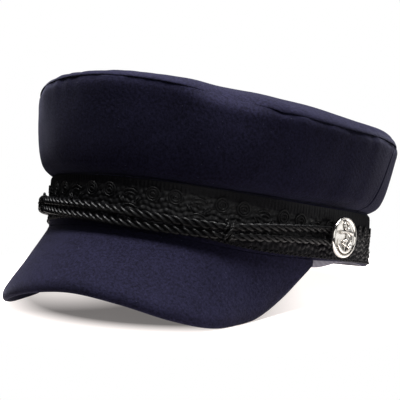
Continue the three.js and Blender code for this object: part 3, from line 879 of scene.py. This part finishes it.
def crown_wall(name, across, angle_at, cloth):
    """Wall panel of the crown from one rear seam to the other, with its cloth rolled in at every seam."""
    # Rows of points up the face, closer at its foot and under its top seam, and down its inner side
    outer = np.unique(np.concatenate([
        np.linspace(0, 0.16, 14), np.linspace(0.16, 0.88, 22), np.linspace(0.88, 1.0, 16),
    ]))
    inner = np.linspace(1.0, 0.0, 12)
    u, share = np.meshgrid(across, outer, indexing="ij")
    angle, half = angle_at(u, share)
    height = wall_height(angle, share)
    below = seam_height(angle) - height
    beside = (1 - np.abs(u)) * half * MM_PER_DEGREE
    base = ring_point(angle, wall_out(angle, share), height)
    sharp = seam_sharpness(angle)
    sink = rolled(below, SEAM_ROLL * sharp, SEAM_ROLL * sharp)
    sink += rolled(beside, REAR_SEAM_ROLL, REAR_SEAM_ROLL)
    sink += hills(angle, SEAM_TUCKS) * np.exp(-(below / TUCK_REACH) ** 2)
    # The seam draws the cloth in a little below it
    sink += SEAM_PULL * sharp * np.exp(-below / SEAM_PULL_REACH)
    sink -= WALL_PUCKER * seam_pucker(angle) * np.exp(-below / WALL_PUCKER_REACH) * sharp
    calm = 1 - (1 - sharp) * np.exp(-below / SOFT_SEAM_CALM)
    sink += uneven(base, *WALL_WAVES) * np.minimum(1, beside / WALL_CALM_REACH + WALL_CALM_LEAST) * calm
    sink = np.minimum(sink, CROWN_WALL - CROWN_WALL_LEAST)
    face = ring_point(angle, wall_out(angle, share) - sink, height)
    u, share = np.meshgrid(across, inner, indexing="ij")
    angle, half = angle_at(u, share)
    back = ring_point(angle, wall_out(angle, share) - CROWN_WALL, wall_height(angle, share))
    foot = angle[:, -1]
    start = band_shift(foot, band_high(foot) + GAP)
    lip = np.stack([ring_point(foot, start + out, band_high(foot) + high) for out, high in WALL_LIP], 1)
    return piece(name, [(cloth, [lofted(np.concatenate([face, back, lip], 1))])])


def rear_seam(share):
    """Angle of the slanting rear seam at a share of the wall's height."""
    return REAR_SEAM_FOOT + (REAR_SEAM_TOP - REAR_SEAM_FOOT) * share


def front_panel(u, share):
    """Angle on the front panel from -1 to 1 across it, and half its width."""
    half = rear_seam(share) - REAR_SEAM_CLEAR
    return u * half, half


def back_panel(u, share):
    """Angle on the back panel from -1 to 1 across it, and half its width."""
    half = 180 - rear_seam(share) - REAR_SEAM_CLEAR
    return 180 + u * half, half


def crown_top(cloth):
    """Top panel: domed, full above its seam, rolled in at the rim."""
    angle = round_cap(300)
    rim = ring_point(angle, wall_out(angle, 1.0) + TOP_LAP, 0)
    sharp = seam_sharpness(angle)
    roll = top_roll(angle)

    def height(share):
        edge = seam_height(angle) + roll
        dome = TOP_MIDDLE + (edge - TOP_MIDDLE) * share ** TOP_DOME_POWER
        return dome + TOP_FULLNESS * (1 - share ** TOP_FULLNESS_POWER)

    rings = []
    for share in TOP_RINGS:
        ring = rim * share
        ring[:, 2] = height(share)
        inside = (1 - share) * RIM_REACH
        slope = max(0, 1 - inside / TOP_REACH) ** 2 * (roll + SOFT_LAP)
        drop = rolled(inside, TOP_REACH, roll) * sharp + slope * (1 - sharp)
        drop = drop + TOP_TUCK * hills(angle, SEAM_TUCKS) * math.exp(-inside / TOP_TUCK_REACH)
        ring[:, 2] += uneven(ring, *TOP_WAVES) * min(1, inside / TOP_CALM_REACH)
        pucker = TOP_PUCKER * seam_pucker(angle) * math.exp(-inside / TOP_PUCKER_REACH)
        ring[:, 2] += pucker * min(1, inside / TOP_PUCKER_FADE) * sharp
        ring[:, 2] -= drop
        rings.append(ring)
    for share in np.linspace(1, TOP_CENTRE, TOP_UNDER_RINGS):
        ring = rim * min(share, TOP_UNDER_REACH)
        ring[:, 2] = height(share) - TOP_WALL - (roll - TOP_WALL) * share ** TOP_FULLNESS_POWER
        rings.append(ring)
    return piece("crown_top", [(cloth, [lofted(np.stack(rings))])])


def strip(low, high, outer, inner, edge, rows):
    """Section of a cloth strip as distances out and heights, rounded at its outer edges."""
    turn = np.linspace(0, math.pi / 2, 6)[:, None]
    low_out = outer - edge * (1 - np.sin(turn))
    low_height = low + edge * (1 - np.cos(turn))
    high_out = outer - edge * (1 - np.cos(turn))
    high_height = high - edge * (1 - np.sin(turn))
    middle = np.linspace(0, 1, rows)[1:-1, None]
    face = low + edge + (high - low - 2 * edge) * middle
    back = high + (low - high) * np.linspace(0, 1, 5)[:, None]
    ones = np.ones_like(low)
    out = [low_out * ones, outer * np.ones_like(face), high_out * ones, inner * np.ones_like(back)]
    return np.concatenate(out).T, np.concatenate([low_height, face, high_height, back]).T


def band(cloth):
    """Head band: an upright strip of cloth with rounded edges."""
    angle = round_cap(360)
    out, height = strip(band_low(angle), band_high(angle), 0.0, -BAND_WALL, BAND_EDGE, rows=16)
    points = band_point(angle[:, None], out, height)
    points += outward(angle)[:, None] * uneven(points, *BAND_WAVES)[..., None]
    return piece("band", [(cloth, [lofted(points, joined=True)])])


def sweatband(lining):
    """Sweatband: a thin strip of lining inside the band."""
    angle = round_cap(300)
    outer = -BAND_WALL - GAP
    from_side = np.abs(degrees_from(0, angle)) - SWEATBAND_SAG_AT
    low = band_low(angle) - SWEATBAND_SAG * np.exp(-(from_side / SWEATBAND_SAG_SPREAD) ** 2)
    high = band_low(angle) + SWEATBAND_HEIGHT
    out, height = strip(low, high, outer, outer - SWEATBAND_WALL, SWEATBAND_EDGE, rows=8)
    ring = lofted(band_point(angle[:, None], out, height), joined=True)
    return piece("sweatband", [(lining, [ring])])


def peak_face(share, reach):
    """Point of the peak's upper face: share from end to end, reach from the band to the outer edge."""
    angle = share * PEAK_END
    root = ring_point(angle, GAP, band_low(angle) - GAP)
    last = len(PEAK_EDGE) - 1
    half = [(k / last, side, -forward, -down) for k, (side, forward, down) in enumerate(PEAK_EDGE)]
    rows = [(-key, -side, y, z) for key, side, y, z in half[:0:-1]] + half
    edge = np.stack([smooth(rows, share, column) for column in (1, 2, 3)], -1)
    return root + (edge - root) * reach[..., None]


def peak_along(share):
    """Way from the band to the peak's outer edge."""
    return peak_face(share, np.ones_like(share)) - peak_face(share, np.zeros_like(share))


def peak_section(length):
    """Section of the peak from its root over the face, round the edge and back below: distance in from the
    edge, and depth below the face."""
    # Rows of points round the edge, over the face and below
    turn = np.linspace(0, math.pi / 2, 11)[1:]
    face = np.linspace(1, 0, 26)
    under = np.linspace(0, 1, 18)
    reach = np.minimum(PEAK_EDGE_REACH, PEAK_ROLL_SHARE * length)
    edge = np.minimum(PEAK_WALL / 2, PEAK_ROUND_SHARE * length)
    full = PEAK_FULL * (1 - np.exp(-length / PEAK_FULL_REACH))
    fall = full + PEAK_WALL / 2
    inside = np.concatenate([
        reach + (length - reach) * face,
        reach * (1 - np.sin(turn)),
        edge * (1 - np.cos(turn)),
        edge + (length - edge) * under,
    ], 1)
    depth = np.concatenate([
        np.zeros_like(length * face),
        fall * (1 - np.cos(turn)),
        fall + PEAK_WALL / 2 * np.sin(turn),
        PEAK_WALL + full * np.exp(-(length - edge) * under / PEAK_EDGE_REACH),
    ], 1)
    return inside, depth


def peak(cloth):
    """Peak: a stiff bowed blade covered in cloth, padded to a full rolled outer edge."""
    shares = (PEAK_LAST * np.linspace(-1, 1, PEAK_STEPS))[:, None]
    length = np.linalg.norm(peak_along(shares), axis=-1)
    inside, depth = peak_section(length)
    share = np.broadcast_to(shares, inside.shape)
    reach = 1 - inside / length
    across = peak_face(share + PEAK_SIDESTEP, reach) - peak_face(share - PEAK_SIDESTEP, reach)
    normal = np.cross(peak_along(share), across)
    normal /= np.linalg.norm(normal, axis=-1)[..., None]
    points = peak_face(share, reach)
    from_root = length - inside
    bowed = PEAK_BOW * np.cos(share * math.pi / 2) * np.sin(math.pi * reach ** PEAK_BOW_POWER)
    rise = bowed + PEAK_FULL * (1 - np.exp(-from_root / PEAK_FULL_REACH)) - depth
    rise = rise + uneven(points, *PEAK_WAVES) * np.sin(reach * math.pi)
    points = points + normal * rise[..., None]
    # Its root stands up against the band, hides the band's lower edge, and is turned in under the band
    stand = PEAK_ROOT * np.exp(-from_root)
    root = band_low(share * PEAK_END) + stand - GAP
    raised = np.where(depth == 0, stand, 0)
    points[..., 2] = np.minimum(points[..., 2] + raised, root)
    ends = shares[:, 0] * PEAK_END
    tucked = np.stack([ring_point(ends, out, band_low(ends) - down) for out, down in PEAK_TURNED], 1)
    points = np.concatenate([points, tucked], 1)
    return piece("peak", [(cloth, [lofted(points)])])


# Braid, cord, knots and buttons

def arc_lengths():
    """Angles round the band and the distance along its oval to each, from the front."""
    angle = np.linspace(-180, 180, ARC_STEPS + 1)
    front = ARC_STEPS // 2
    step = np.hypot(HALF_WIDTH * np.cos(np.radians(angle)), HALF_LENGTH * np.sin(np.radians(angle)))
    length = np.concatenate([[0], np.cumsum((step[1:] + step[:-1]) / 2 * math.radians(360 / ARC_STEPS))])
    return angle, length - length[front]


ARC_ANGLE, ARC_LENGTH = arc_lengths()
ROUND = 2 * ARC_LENGTH[-1]
PERIOD = ROUND / BRAID_REPEATS
SCROLL_START = np.interp(SCROLL_PLACE, ARC_ANGLE, ARC_LENGTH)


def angle_along(distance):
    """Angle at a distance along the band's oval from the front."""
    return np.interp((distance + ROUND / 2) % ROUND - ROUND / 2, ARC_LENGTH, ARC_ANGLE)


def on_braid(distance, above, out):
    """Point over the band at a distance along it, a height above the braid's lower edge and a distance out,
    and the way out there."""
    angle = angle_along(distance)
    ribbed = np.maximum(0, above - BRAID_RIBS_FROM) / (BRAID_WIDTH - BRAID_RIBS_FROM)
    wider = BRAID_WIDER_SIDE * (1 - front_share(angle)) * ribbed
    sag = hills(angle, BRAID_SAGS) * np.maximum(0, 1 - above / BRAID_SAG_REACH)
    return band_point(angle, out, braid_low(angle) + above + wider - sag), outward(angle)


def gimp_ring(middle, height, radius):
    """Ring of gimp cord laid on the braid, its lower half sunk into the ground."""
    turn = full_turn(GIMP_RING_STEPS)
    rise = GIMP_RISE - GIMP_SINK * (1 - np.sin(turn))
    points, out = on_braid(middle + radius * np.cos(turn), height + radius * np.sin(turn), rise)
    return tube(points, out, GIMP_RADIUS, GIMP_RING_SIDES, closed=True)


def gimp_bow(middle, height, half, rise):
    """Length of gimp cord bowed upward, its ends tucked into the ground."""
    steps = np.linspace(-1, 1, GIMP_BOW_STEPS)
    above = height + rise * (1 - steps ** 2)
    points, out = on_braid(middle + half * steps, above, GIMP_RISE - GIMP_TUCK * steps ** 4)
    return tube(points, out, GIMP_RADIUS, GIMP_BOW_SIDES)


def gimp_stroke(middle, lean):
    """Short slanting length of thinner gimp cord, its ends tucked into the ground."""
    steps = np.linspace(-1, 1, STROKE_STEPS)
    above = (STROKE_LOW + STROKE_HIGH) / 2 + (STROKE_HIGH - STROKE_LOW) / 2 * steps
    points, out = on_braid(middle + lean * steps, above, GIMP_RISE - GIMP_TUCK * steps ** 4)
    return tube(points, out, STROKE_RADIUS, GIMP_BOW_SIDES)


def braid_ground():
    """Woven ground of the braid: wavy rows of short blobs, sunk under the scrolls and bows, and upright ribs
    along its upper edge. Gives its dull part and its satin part, which together make one closed skin."""
    distance = np.arange(BRAID_STEPS) * ROUND / BRAID_STEPS
    s, z = np.meshgrid(distance, np.linspace(0, BRAID_WIDTH, BRAID_LINES), indexing="ij")
    wave = np.sin(2 * BRAID_WAVES * math.pi * s / PERIOD)
    place = z / BRAID_ROW + BRAID_WAVE / BRAID_ROW * wave + 1
    row = np.floor(place)
    column = s / ROUND * round(ROUND / BRAID_BLOB) + row / 2
    drawn = np.random.default_rng(BLOB_SEED).uniform(BLOB_LEAST, 1.0, BLOB_TABLE)
    tight = drawn[column.astype(int) % BLOB_TABLE[0], row.astype(int)]
    blob = tight * (np.abs(np.sin(math.pi * column)) * np.abs(np.sin(math.pi * place))) ** BLOB_POWER
    ribs = np.sqrt(np.abs(np.sin(math.pi * s / ROUND * round(ROUND / BRAID_RIB))))
    upper = np.clip((z - BRAID_RIBS_FROM) / RIB_FADE, 0, 1)
    from_pair = (s - SCROLL_START + PERIOD / 2) % PERIOD - PERIOD / 2
    from_bow = (s - SCROLL_START) % PERIOD - PERIOD / 2
    clear = np.hypot(np.abs(from_pair) - SCROLL_APART / 2, z - SCROLL_HEIGHT) / SCROLL_CLEAR
    for height in BOW_HEIGHTS:
        clear = np.minimum(clear, np.hypot(from_bow / BOW_CLEAR_LONG, (z - height) / BOW_CLEAR_HIGH))
    risen = SUNK_LEAST + (1 - SUNK_LEAST) * np.minimum(clear, 1) ** SUNK_POWER
    thick = GROUND_LEAST + (BLOB_RISE * blob * (1 - upper) + RIB_RISE * ribs * upper) * risen
    edge = np.clip(np.minimum(z, BRAID_WIDTH - z) / GROUND_EDGE, 0, 1)
    thick = thick * (GROUND_EDGE_LEAST + (1 - GROUND_EDGE_LEAST) * edge)
    face = on_braid(s, z, GAP + thick)[0]
    every = -BRAID_BACK_EVERY
    back = on_braid(s[:, ::every], z[:, ::every], GAP / 2)[0]
    points, faces = lofted(np.concatenate([face, back], 1), joined=True)
    satin_rows = (z[0] >= BRAID_SATIN_FROM) & (z[0] < BRAID_RIBS_FROM)
    satin = np.resize(np.append(satin_rows, np.zeros(back.shape[1], bool)), len(faces))
    dull_faces = [face for face, chosen in zip(faces, satin) if not chosen]
    satin_faces = [face for face, chosen in zip(faces, satin) if chosen]
    return (points, dull_faces), (points, satin_faces)


def braid_edge():
    """Thin cord that zigzags along the lower edge of the braid."""
    count = round(ROUND / EDGE_PITCH)
    turn = np.arange(count * EDGE_STEPS) * 2 * math.pi / EDGE_STEPS
    distance = turn / (2 * math.pi) * ROUND / count
    rise = EDGE_RISE + EDGE_RIPPLE * np.cos(turn)
    points, out = on_braid(distance, EDGE_ABOVE + EDGE_SWING * np.sin(turn), rise)
    return tube(points, out, EDGE_RADIUS, EDGE_SIDES, closed=True)


def braid_trim(weave, gimp):
    """Braid: its ground, and on it pairs of double rings with bows and slanting strokes between them."""
    raised = []
    for repeat in range(BRAID_REPEATS):
        middle = SCROLL_START + repeat * PERIOD
        for place in (middle - SCROLL_APART / 2, middle + SCROLL_APART / 2):
            raised += [gimp_ring(place, SCROLL_HEIGHT, radius) for radius in SCROLL_RADII]
            drop, half, rise = SCROLL_EYE
            raised.append(gimp_bow(place, SCROLL_HEIGHT - drop, half, rise))
        place = middle + PERIOD / 2
        for height in BOW_HEIGHTS:
            raised += [gimp_bow(place, height - drop, half, rise) for drop, half, rise in BOWS]
        for side in (-1, 1):
            raised += [gimp_stroke(place + side * aside, side * STROKE_LEAN) for aside in STROKES_ASIDE]
    dull, satin = braid_ground()
    groups = [(weave, [dull, braid_edge()]), (gimp, [satin, *raised])]
    return piece("braid_trim", groups, crease=70)


def cord_swell(angle):
    """How much thicker the cord is over the front than at the buttons."""
    return CORD_SWELL * np.clip((CORD_SWELL_HALF - np.abs(angle)) / CORD_SWELL_FADE, 0, 1)


def near_knots(angle, spread):
    """1 at each knot, falling off over a spread in degrees."""
    return sum(np.exp(-((angle - place) / spread) ** 2) for place in KNOT_PLACES.values())


def cord_run(angle, column):
    """Point on the middle line of the cord's upper or lower run."""
    angle = np.asarray(angle, float)
    rest = GAP + BRAID_THICK + GAP + CORD_RADIUS + cord_swell(angle)
    out = rest + KNOT_LIFT * near_knots(angle, KNOT_SPREAD)
    return band_point(angle, out, smooth(CORD_RUNS, angle, column))


def cord_turn(side):
    """Half turn of the cord round a button's shank, between its two runs."""
    angle = side * BUTTON_ANGLE
    upper = cord_run(angle, UPPER_RUN)
    lower = cord_run(angle, LOWER_RUN)
    middle = (upper + lower) / 2
    radius = np.linalg.norm(upper - lower) / 2
    back = np.cross(outward(np.float64(angle)), (0, 0, -side))
    turn = np.linspace(0, math.pi, CORD_TURN_STEPS + 1)[1:-1, None]
    return middle + back * radius * np.sin(turn) + np.array((0, 0, -side * radius)) * np.cos(turn)


def cord_path():
    """The cord's middle line, once round the loop, in even steps, and its length."""
    angle = np.linspace(BUTTON_ANGLE, -BUTTON_ANGLE, CORD_RUN_STEPS)
    upper = cord_run(angle, UPPER_RUN)
    lower = cord_run(angle[::-1], LOWER_RUN)
    points = np.concatenate([upper, cord_turn(-1), lower, cord_turn(1)])
    closed = np.concatenate([points, points[:1]])
    travelled = np.concatenate([[0], np.cumsum(np.linalg.norm(np.diff(closed, axis=0), axis=1))])
    steps = np.linspace(0, travelled[-1], CORD_STEPS, endpoint=False)
    return np.stack([np.interp(steps, travelled, closed[:, k]) for k in range(3)], -1), travelled[-1]


def cord(satin):
    """Three satin strands twisted round the middle line of the loop, tighter toward the wearer's right, and
    drawn thin inside the knots."""
    path, length = cord_path()
    angle = np.degrees(np.arctan2(path[:, 0] / HALF_WIDTH, -path[:, 1] / HALF_LENGTH))
    tighter = CORD_TIGHTER * np.clip((CORD_TIGHTER_FROM - angle) / CORD_TIGHTER_FADE, 0, 1)
    wound = np.cumsum(1 + tighter) * length / len(path)
    twist = 2 * math.pi * round(wound[-1] / CORD_LEAD) * wound / wound[-1]
    pinch = KNOT_PINCH * near_knots(angle, KNOT_PINCH_SPREAD)
    thin = (1 - pinch) * (1 + cord_swell(angle) / CORD_RADIUS)
    strands = twisted(path, outward(angle), twist, CORD_RADIUS * thin, STRAND_RADIUS * thin)
    return piece("cord", [(satin, strands)], crease=80)


def knot(name, angle, satin):
    """Slanting turns of thinner cord drawn tight round each run, a strand laid across both, and the tie's
    loop."""
    angle = np.float64(angle)
    upper = cord_run(angle, UPPER_RUN)
    lower = cord_run(angle, LOWER_RUN)
    middle = (upper + lower) / 2
    apart = np.linalg.norm(upper - lower)
    up = (upper - lower) / apart
    out = outward(angle)
    along = np.cross(up, out)
    turn = np.linspace(0, 2 * math.pi, KNOT_STEPS, endpoint=False)
    twist = KNOT_TWISTS * turn
    away = up * np.cos(turn)[:, None] + out * np.sin(turn)[:, None]
    parts = []
    for run in (upper, lower):
        for place in KNOT_TURNS:
            aside = place + KNOT_SLANT * np.cos(turn)
            path = run + away * KNOT_REACH + along * aside[:, None]
            parts += twisted(path, away, twist, KNOT_RADIUS, KNOT_STRAND, KNOT_FLAT)
    across = (np.cos(turn) * (apart / 2 + ACROSS_PAST))[:, None] * up
    across += (np.cos(turn) * ACROSS_SLANT)[:, None] * along
    path = middle + across + out * (np.sin(turn) * (KNOT_REACH + ACROSS_LIFT))[:, None]
    parts += twisted(path, path - middle, twist, KNOT_RADIUS, KNOT_STRAND)
    turn = full_turn(LOOP_STEPS)[:, None]
    top = upper + up * (KNOT_REACH + LOOP_ABOVE) - along * LOOP_ASIDE
    loop = top + up * np.cos(turn) * LOOP_RADIUS + along * np.sin(turn) * LOOP_RADIUS
    parts.append(tube(loop, np.tile(out, (LOOP_STEPS, 1)), LOOP_THICK, LOOP_SIDES, closed=True))
    return piece(name, [(satin, parts)], crease=80)


def button_face(x, y):
    """Height of the button's face at a place on it."""
    radius, rise = np.asarray(BUTTON_PROFILE).T
    return np.interp(np.hypot(x, y), radius[::-1], rise[::-1])


def relief(x, y, radius, lift):
    """Raised rod on the button's face along a path of places, drawn at the anchor's size."""
    path = np.stack(np.broadcast_arrays(x, y), 1) * ANCHOR_SIZE
    height = button_face(path[:, 0], path[:, 1]) + lift
    points = np.concatenate([path, height[:, None]], 1)
    return tube(points, np.tile((0.0, 0.0, 1.0), (len(points), 1)), radius * ANCHOR_SIZE, RELIEF_SIDES)


def fluke(side):
    """Barbed end of an anchor's arm, as a low ridge with a raised middle."""
    mirror = np.array((side, 1)) * ANCHOR_SIZE
    tip = np.asarray(FLUKE_TIP) * mirror
    way = np.asarray(FLUKE_WAY) * mirror
    ahead = way * FLUKE_LENGTH
    beside = np.array((-way[1], way[0])) * FLUKE_HALF
    flat = np.stack([
        tip + ahead * FLUKE_AHEAD,
        tip - ahead * FLUKE_BARBS + beside,
        tip - ahead * FLUKE_NOTCH,
        tip - ahead * FLUKE_BARBS - beside,
    ])
    low = np.concatenate([flat, button_face(flat[:, 0], flat[:, 1])[:, None] - FLUKE_SUNK], 1)
    high = low + (0, 0, FLUKE_SIDE)
    top = np.append(tip, button_face(*tip) + FLUKE_RIDGE)
    corners = [(i, (i + 1) % 4) for i in range(4)]
    sides = [[i, after, 4 + after, 4 + i] for i, after in corners]
    slopes = [[4 + i, 4 + after, 8] for i, after in corners]
    return np.concatenate([low, high, top[None]]), [[0, 1, 2, 3], *sides, *slopes]


def anchor():
    """Anchor with a rope, in relief: ring, stock, shank, arms with flukes, and a rope wound across."""
    turn = np.linspace(0, 2 * math.pi, 33)
    ring_height = RING_HEIGHT + RING_RADIUS * np.sin(turn)
    ring = relief(RING_RADIUS * np.cos(turn), ring_height, RING_THICK, RING_LIFT)
    across = np.linspace(-1, 1, 15)
    stock_thick = STOCK_THICK + STOCK_END * np.abs(across) ** 3
    stock_height = STOCK_HEIGHT - STOCK_DROOP * across ** 2
    stock = relief(STOCK_HALF * across, stock_height, stock_thick, STOCK_LIFT)
    shank = relief(0.0, np.linspace(SHANK_TOP, SHANK_FOOT, 15), np.linspace(*SHANK_THICK, 15), SHANK_LIFT)
    sweep = np.linspace(-1, 1, 27)
    bend = np.radians(-90 + ARM_SWEEP * sweep)
    arm_thick = ARM_THICK + ARM_FULLER * np.cos(1.5 * sweep)
    arms = relief(ARM_RADIUS * np.cos(bend), ARM_HEIGHT + ARM_RADIUS * np.sin(bend), arm_thick, ARM_LIFT)
    down = np.linspace(0, 1, 51)
    swing = ROPE_SWING * np.sin(2 * math.pi * (ROPE_CROSSINGS * down + ROPE_START))
    swing = swing * (ROPE_WIDENS[0] + ROPE_WIDENS[1] * down)
    rope_thick = ROPE_THICK + ROPE_TWIST[0] * np.cos(ROPE_TWIST[1] * down)
    rope_lift = ROPE_LIFT + ROPE_WEAVE * np.cos(2 * math.pi * (2 * ROPE_CROSSINGS) * down)
    rope = relief(swing, ROPE_TOP - ROPE_DOWN * down, rope_thick, rope_lift)
    return [ring, stock, shank, arms, fluke(-1), fluke(1), rope]


def button(name, side, nickel, dull_nickel):
    """Cast button: a turned disc with a rolled rim, a dulled field with painted shade beside the relief, the
    anchor in relief, and its shank.
    """
    turn = full_turn(BUTTON_STEPS)
    seat = GAP + BRAID_THICK + GAP - BUTTON_BACK
    profile = [(BUTTON_SHANK, seat), (BUTTON_SHANK, 0.0), *BUTTON_PROFILE]
    rings = []
    for radius, rise in profile:
        ring = [radius * np.cos(turn), radius * np.sin(turn), np.full(BUTTON_STEPS, rise)]
        rings.append(np.stack(ring, 1))
    rings = np.stack(rings)
    first = len(profile) - BUTTON_FIELD_RINGS
    rim_points, rim_faces = lofted(rings[:first + 1], capped=False)
    rim_faces.append(list(range(BUTTON_STEPS)))
    field_points, field_faces = lofted(rings[first:], capped=False)
    field_faces.append(list(range(len(field_points) - BUTTON_STEPS, len(field_points))))
    angle = np.float64(side * BUTTON_ANGLE)
    out = outward(angle)
    up = np.array((0.0, 0.0, 1.0))
    axes = np.stack([np.cross(up, out), up, out])
    place = band_point(angle, BUTTON_BACK, BUTTON_HEIGHT)
    bright = [(points @ axes + place, faces) for points, faces in [(rim_points, rim_faces), *anchor()]]
    dull = [(field_points @ axes + place, field_faces)]
    return piece(name, [(nickel, bright), (dull_nickel, dull)], crease=60)


# The cap

wool = brushed_wool_cloth()
weave = rayon_weave()
gimp = rayon_gimp()
satin = satin_cord()
twill = cotton_lining()
nickel = polished_nickel()
dull_nickel = dulled_nickel()

crown_wall("crown_front", eased(FRONT_STEPS, FRONT_NEAR_SEAM), front_panel, wool)
crown_wall("crown_back", eased(BACK_STEPS, BACK_NEAR_SEAM), back_panel, wool)
crown_top(wool)
band(wool)
sweatband(twill)
peak(wool)
braid_trim(weave, gimp)
cord(satin)
for knot_name, knot_angle in KNOT_PLACES.items():
    knot(knot_name, knot_angle, satin)
button("button_left", 1, nickel, dull_nickel)
button("button_right", -1, nickel, dull_nickel)


# Floor, light and camera

def glowing_paper():
    """Matt white paper, pressed, with a soft glow that washes out the shadow where the floor is palest."""
    material, tree, shader, place = new_material("matt_white_paper")
    # The paper's grain is finer than a tenth of a millimetre; drawn at 3 mm
    grain = add(tree, "ShaderNodeTexNoise", {"Vector": place, "Scale": per_metre(3)})
    shades = add(tree, "ShaderNodeValToRGB", {"Fac": grain.outputs["Fac"]}, [(0, "#b4aeab"), (1, "#b8b2af")])
    # The sheet glows toward the wearer's left, which washes the shadow out on that side
    along = add(tree, "ShaderNodeMapping", {
        "Vector": place, "Rotation": (0, 0, GLOW_TURN),
    }).outputs["Vector"]
    aside = add(tree, "ShaderNodeSeparateXYZ", {"Vector": along}).outputs["X"]
    glow = add(tree, "ShaderNodeMapRange", {
        "Value": aside, "From Min": 0.0, "From Max": 0.055, "To Min": 0.16, "To Max": 1.05,
    })
    # A patch about 12 cm across glows under the band on the wearer's right
    near = add(tree, "ShaderNodeMapping", {
        "Vector": along, "Location": (1.25, 0.1, 0), "Scale": (16, 16, 1),
    })
    patch = add(tree, "ShaderNodeTexGradient", {"Vector": near.outputs["Vector"]}, gradient_type="SPHERICAL")
    both = add(tree, "ShaderNodeMath", {
        0: patch.outputs["Fac"], 1: 0.8, 2: glow.outputs["Result"],
    }, operation="MULTIPLY_ADD")
    # Outside a disc of about 10 cm radius the sheet glows too, so that the shadow stays close under the cap
    middle = add(tree, "ShaderNodeMapping", {"Vector": place, "Location": (0, 0.055, 0), "Scale": (5, 5, 5)})
    disc = add(tree, "ShaderNodeTexGradient", {
        "Vector": middle.outputs["Vector"],
    }, gradient_type="SPHERICAL").outputs["Fac"]
    outside = add(tree, "ShaderNodeMapRange", {
        "Value": disc, "From Min": 0.53, "From Max": 0.44, "To Min": 0.0, "To Max": 0.95,
    })
    total = add(tree, "ShaderNodeMath", {0: both.outputs[0], 1: outside.outputs["Result"]}, operation="ADD")
    # At its rim it fades into the white backdrop
    solid = add(tree, "ShaderNodeMapRange", {"Value": disc, "From Min": 0.16, "From Max": 0.42})
    connect(tree, shader, {
        "Base Color": shades.outputs["Color"], "Roughness": 0.95, "Specular IOR Level": 0.1,
        "Emission Color": colour("#fff8f5"), "Emission Strength": total.outputs[0],
        "Alpha": solid.outputs["Result"],
    })
    return material


def paper_floor():
    """Round sheet of paper just under the cap."""
    turn = full_turn(FLOOR_STEPS)
    rim = [FLOOR_RADIUS * np.cos(turn), FLOOR_RADIUS * np.sin(turn), np.full(FLOOR_STEPS, -FLOOR_DEPTH)]
    mesh = bpy.data.meshes.new("studio_floor")
    mesh.from_pydata(np.stack(rim, 1).tolist(), [], [list(range(FLOOR_STEPS))])
    mesh.materials.append(glowing_paper())
    floor = bpy.data.objects.new("studio_floor", mesh)
    bpy.context.collection.objects.link(floor)


def softbox(name, place, width, length, watts):
    """Rectangular soft light at a place, turned to the cap."""
    light = bpy.data.lights.new(name, "AREA")
    light.shape = "RECTANGLE"
    light.size = width
    light.size_y = length
    light.energy = watts
    made = bpy.data.objects.new(name, light)
    made.location = place
    made.rotation_mode = "QUATERNION"
    made.rotation_quaternion = (Vector(LIGHT_AIM) - Vector(place)).to_track_quat("-Z", "Y")
    bpy.context.collection.objects.link(made)


def studio_light():
    """White backdrop and soft lights."""
    world = bpy.data.worlds.new("white_studio")
    bpy.context.scene.world = world
    world.use_nodes = True
    tree = world.node_tree
    # The backdrop is white to the eye, and dim as a light, so that the cloth keeps its shade
    seen = add(tree, "ShaderNodeLightPath").outputs["Is Camera Ray"]
    level = add(tree, "ShaderNodeMapRange", {"Value": seen, "To Min": BACKDROP_LIGHT, "To Max": 1.0})
    connect(tree, tree.nodes["Background"], {"Color": (1, 1, 1, 1), "Strength": level.outputs["Result"]})
    for name, settings in LIGHTS.items():
        softbox(name, *settings)
    bpy.context.scene.view_settings.view_transform = "Standard"


def photo_camera():
    """Camera at the photograph's angle."""
    right = Vector((math.cos(CAMERA_TURN), math.sin(CAMERA_TURN), 0))
    level = math.cos(CAMERA_RISE)
    back = Vector((math.sin(CAMERA_TURN) * level, -math.cos(CAMERA_TURN) * level, math.sin(CAMERA_RISE)))
    up = back.cross(right)
    aim = Vector(CAMERA_AIM) + right * CAMERA_ASIDE + up * CAMERA_UP
    lens_data = bpy.data.cameras.new("photo_camera")
    lens_data.lens = CAMERA_LENS
    lens_data.clip_start = CAMERA_NEAREST
    camera = bpy.data.objects.new("photo_camera", lens_data)
    turned = Matrix((right, up, back)).transposed().to_4x4()
    camera.matrix_world = Matrix.Translation((aim + back * CAMERA_DISTANCE) * MM) @ turned
    bpy.context.collection.objects.link(camera)
    bpy.context.scene.camera = camera


paper_floor()
studio_light()
photo_camera()
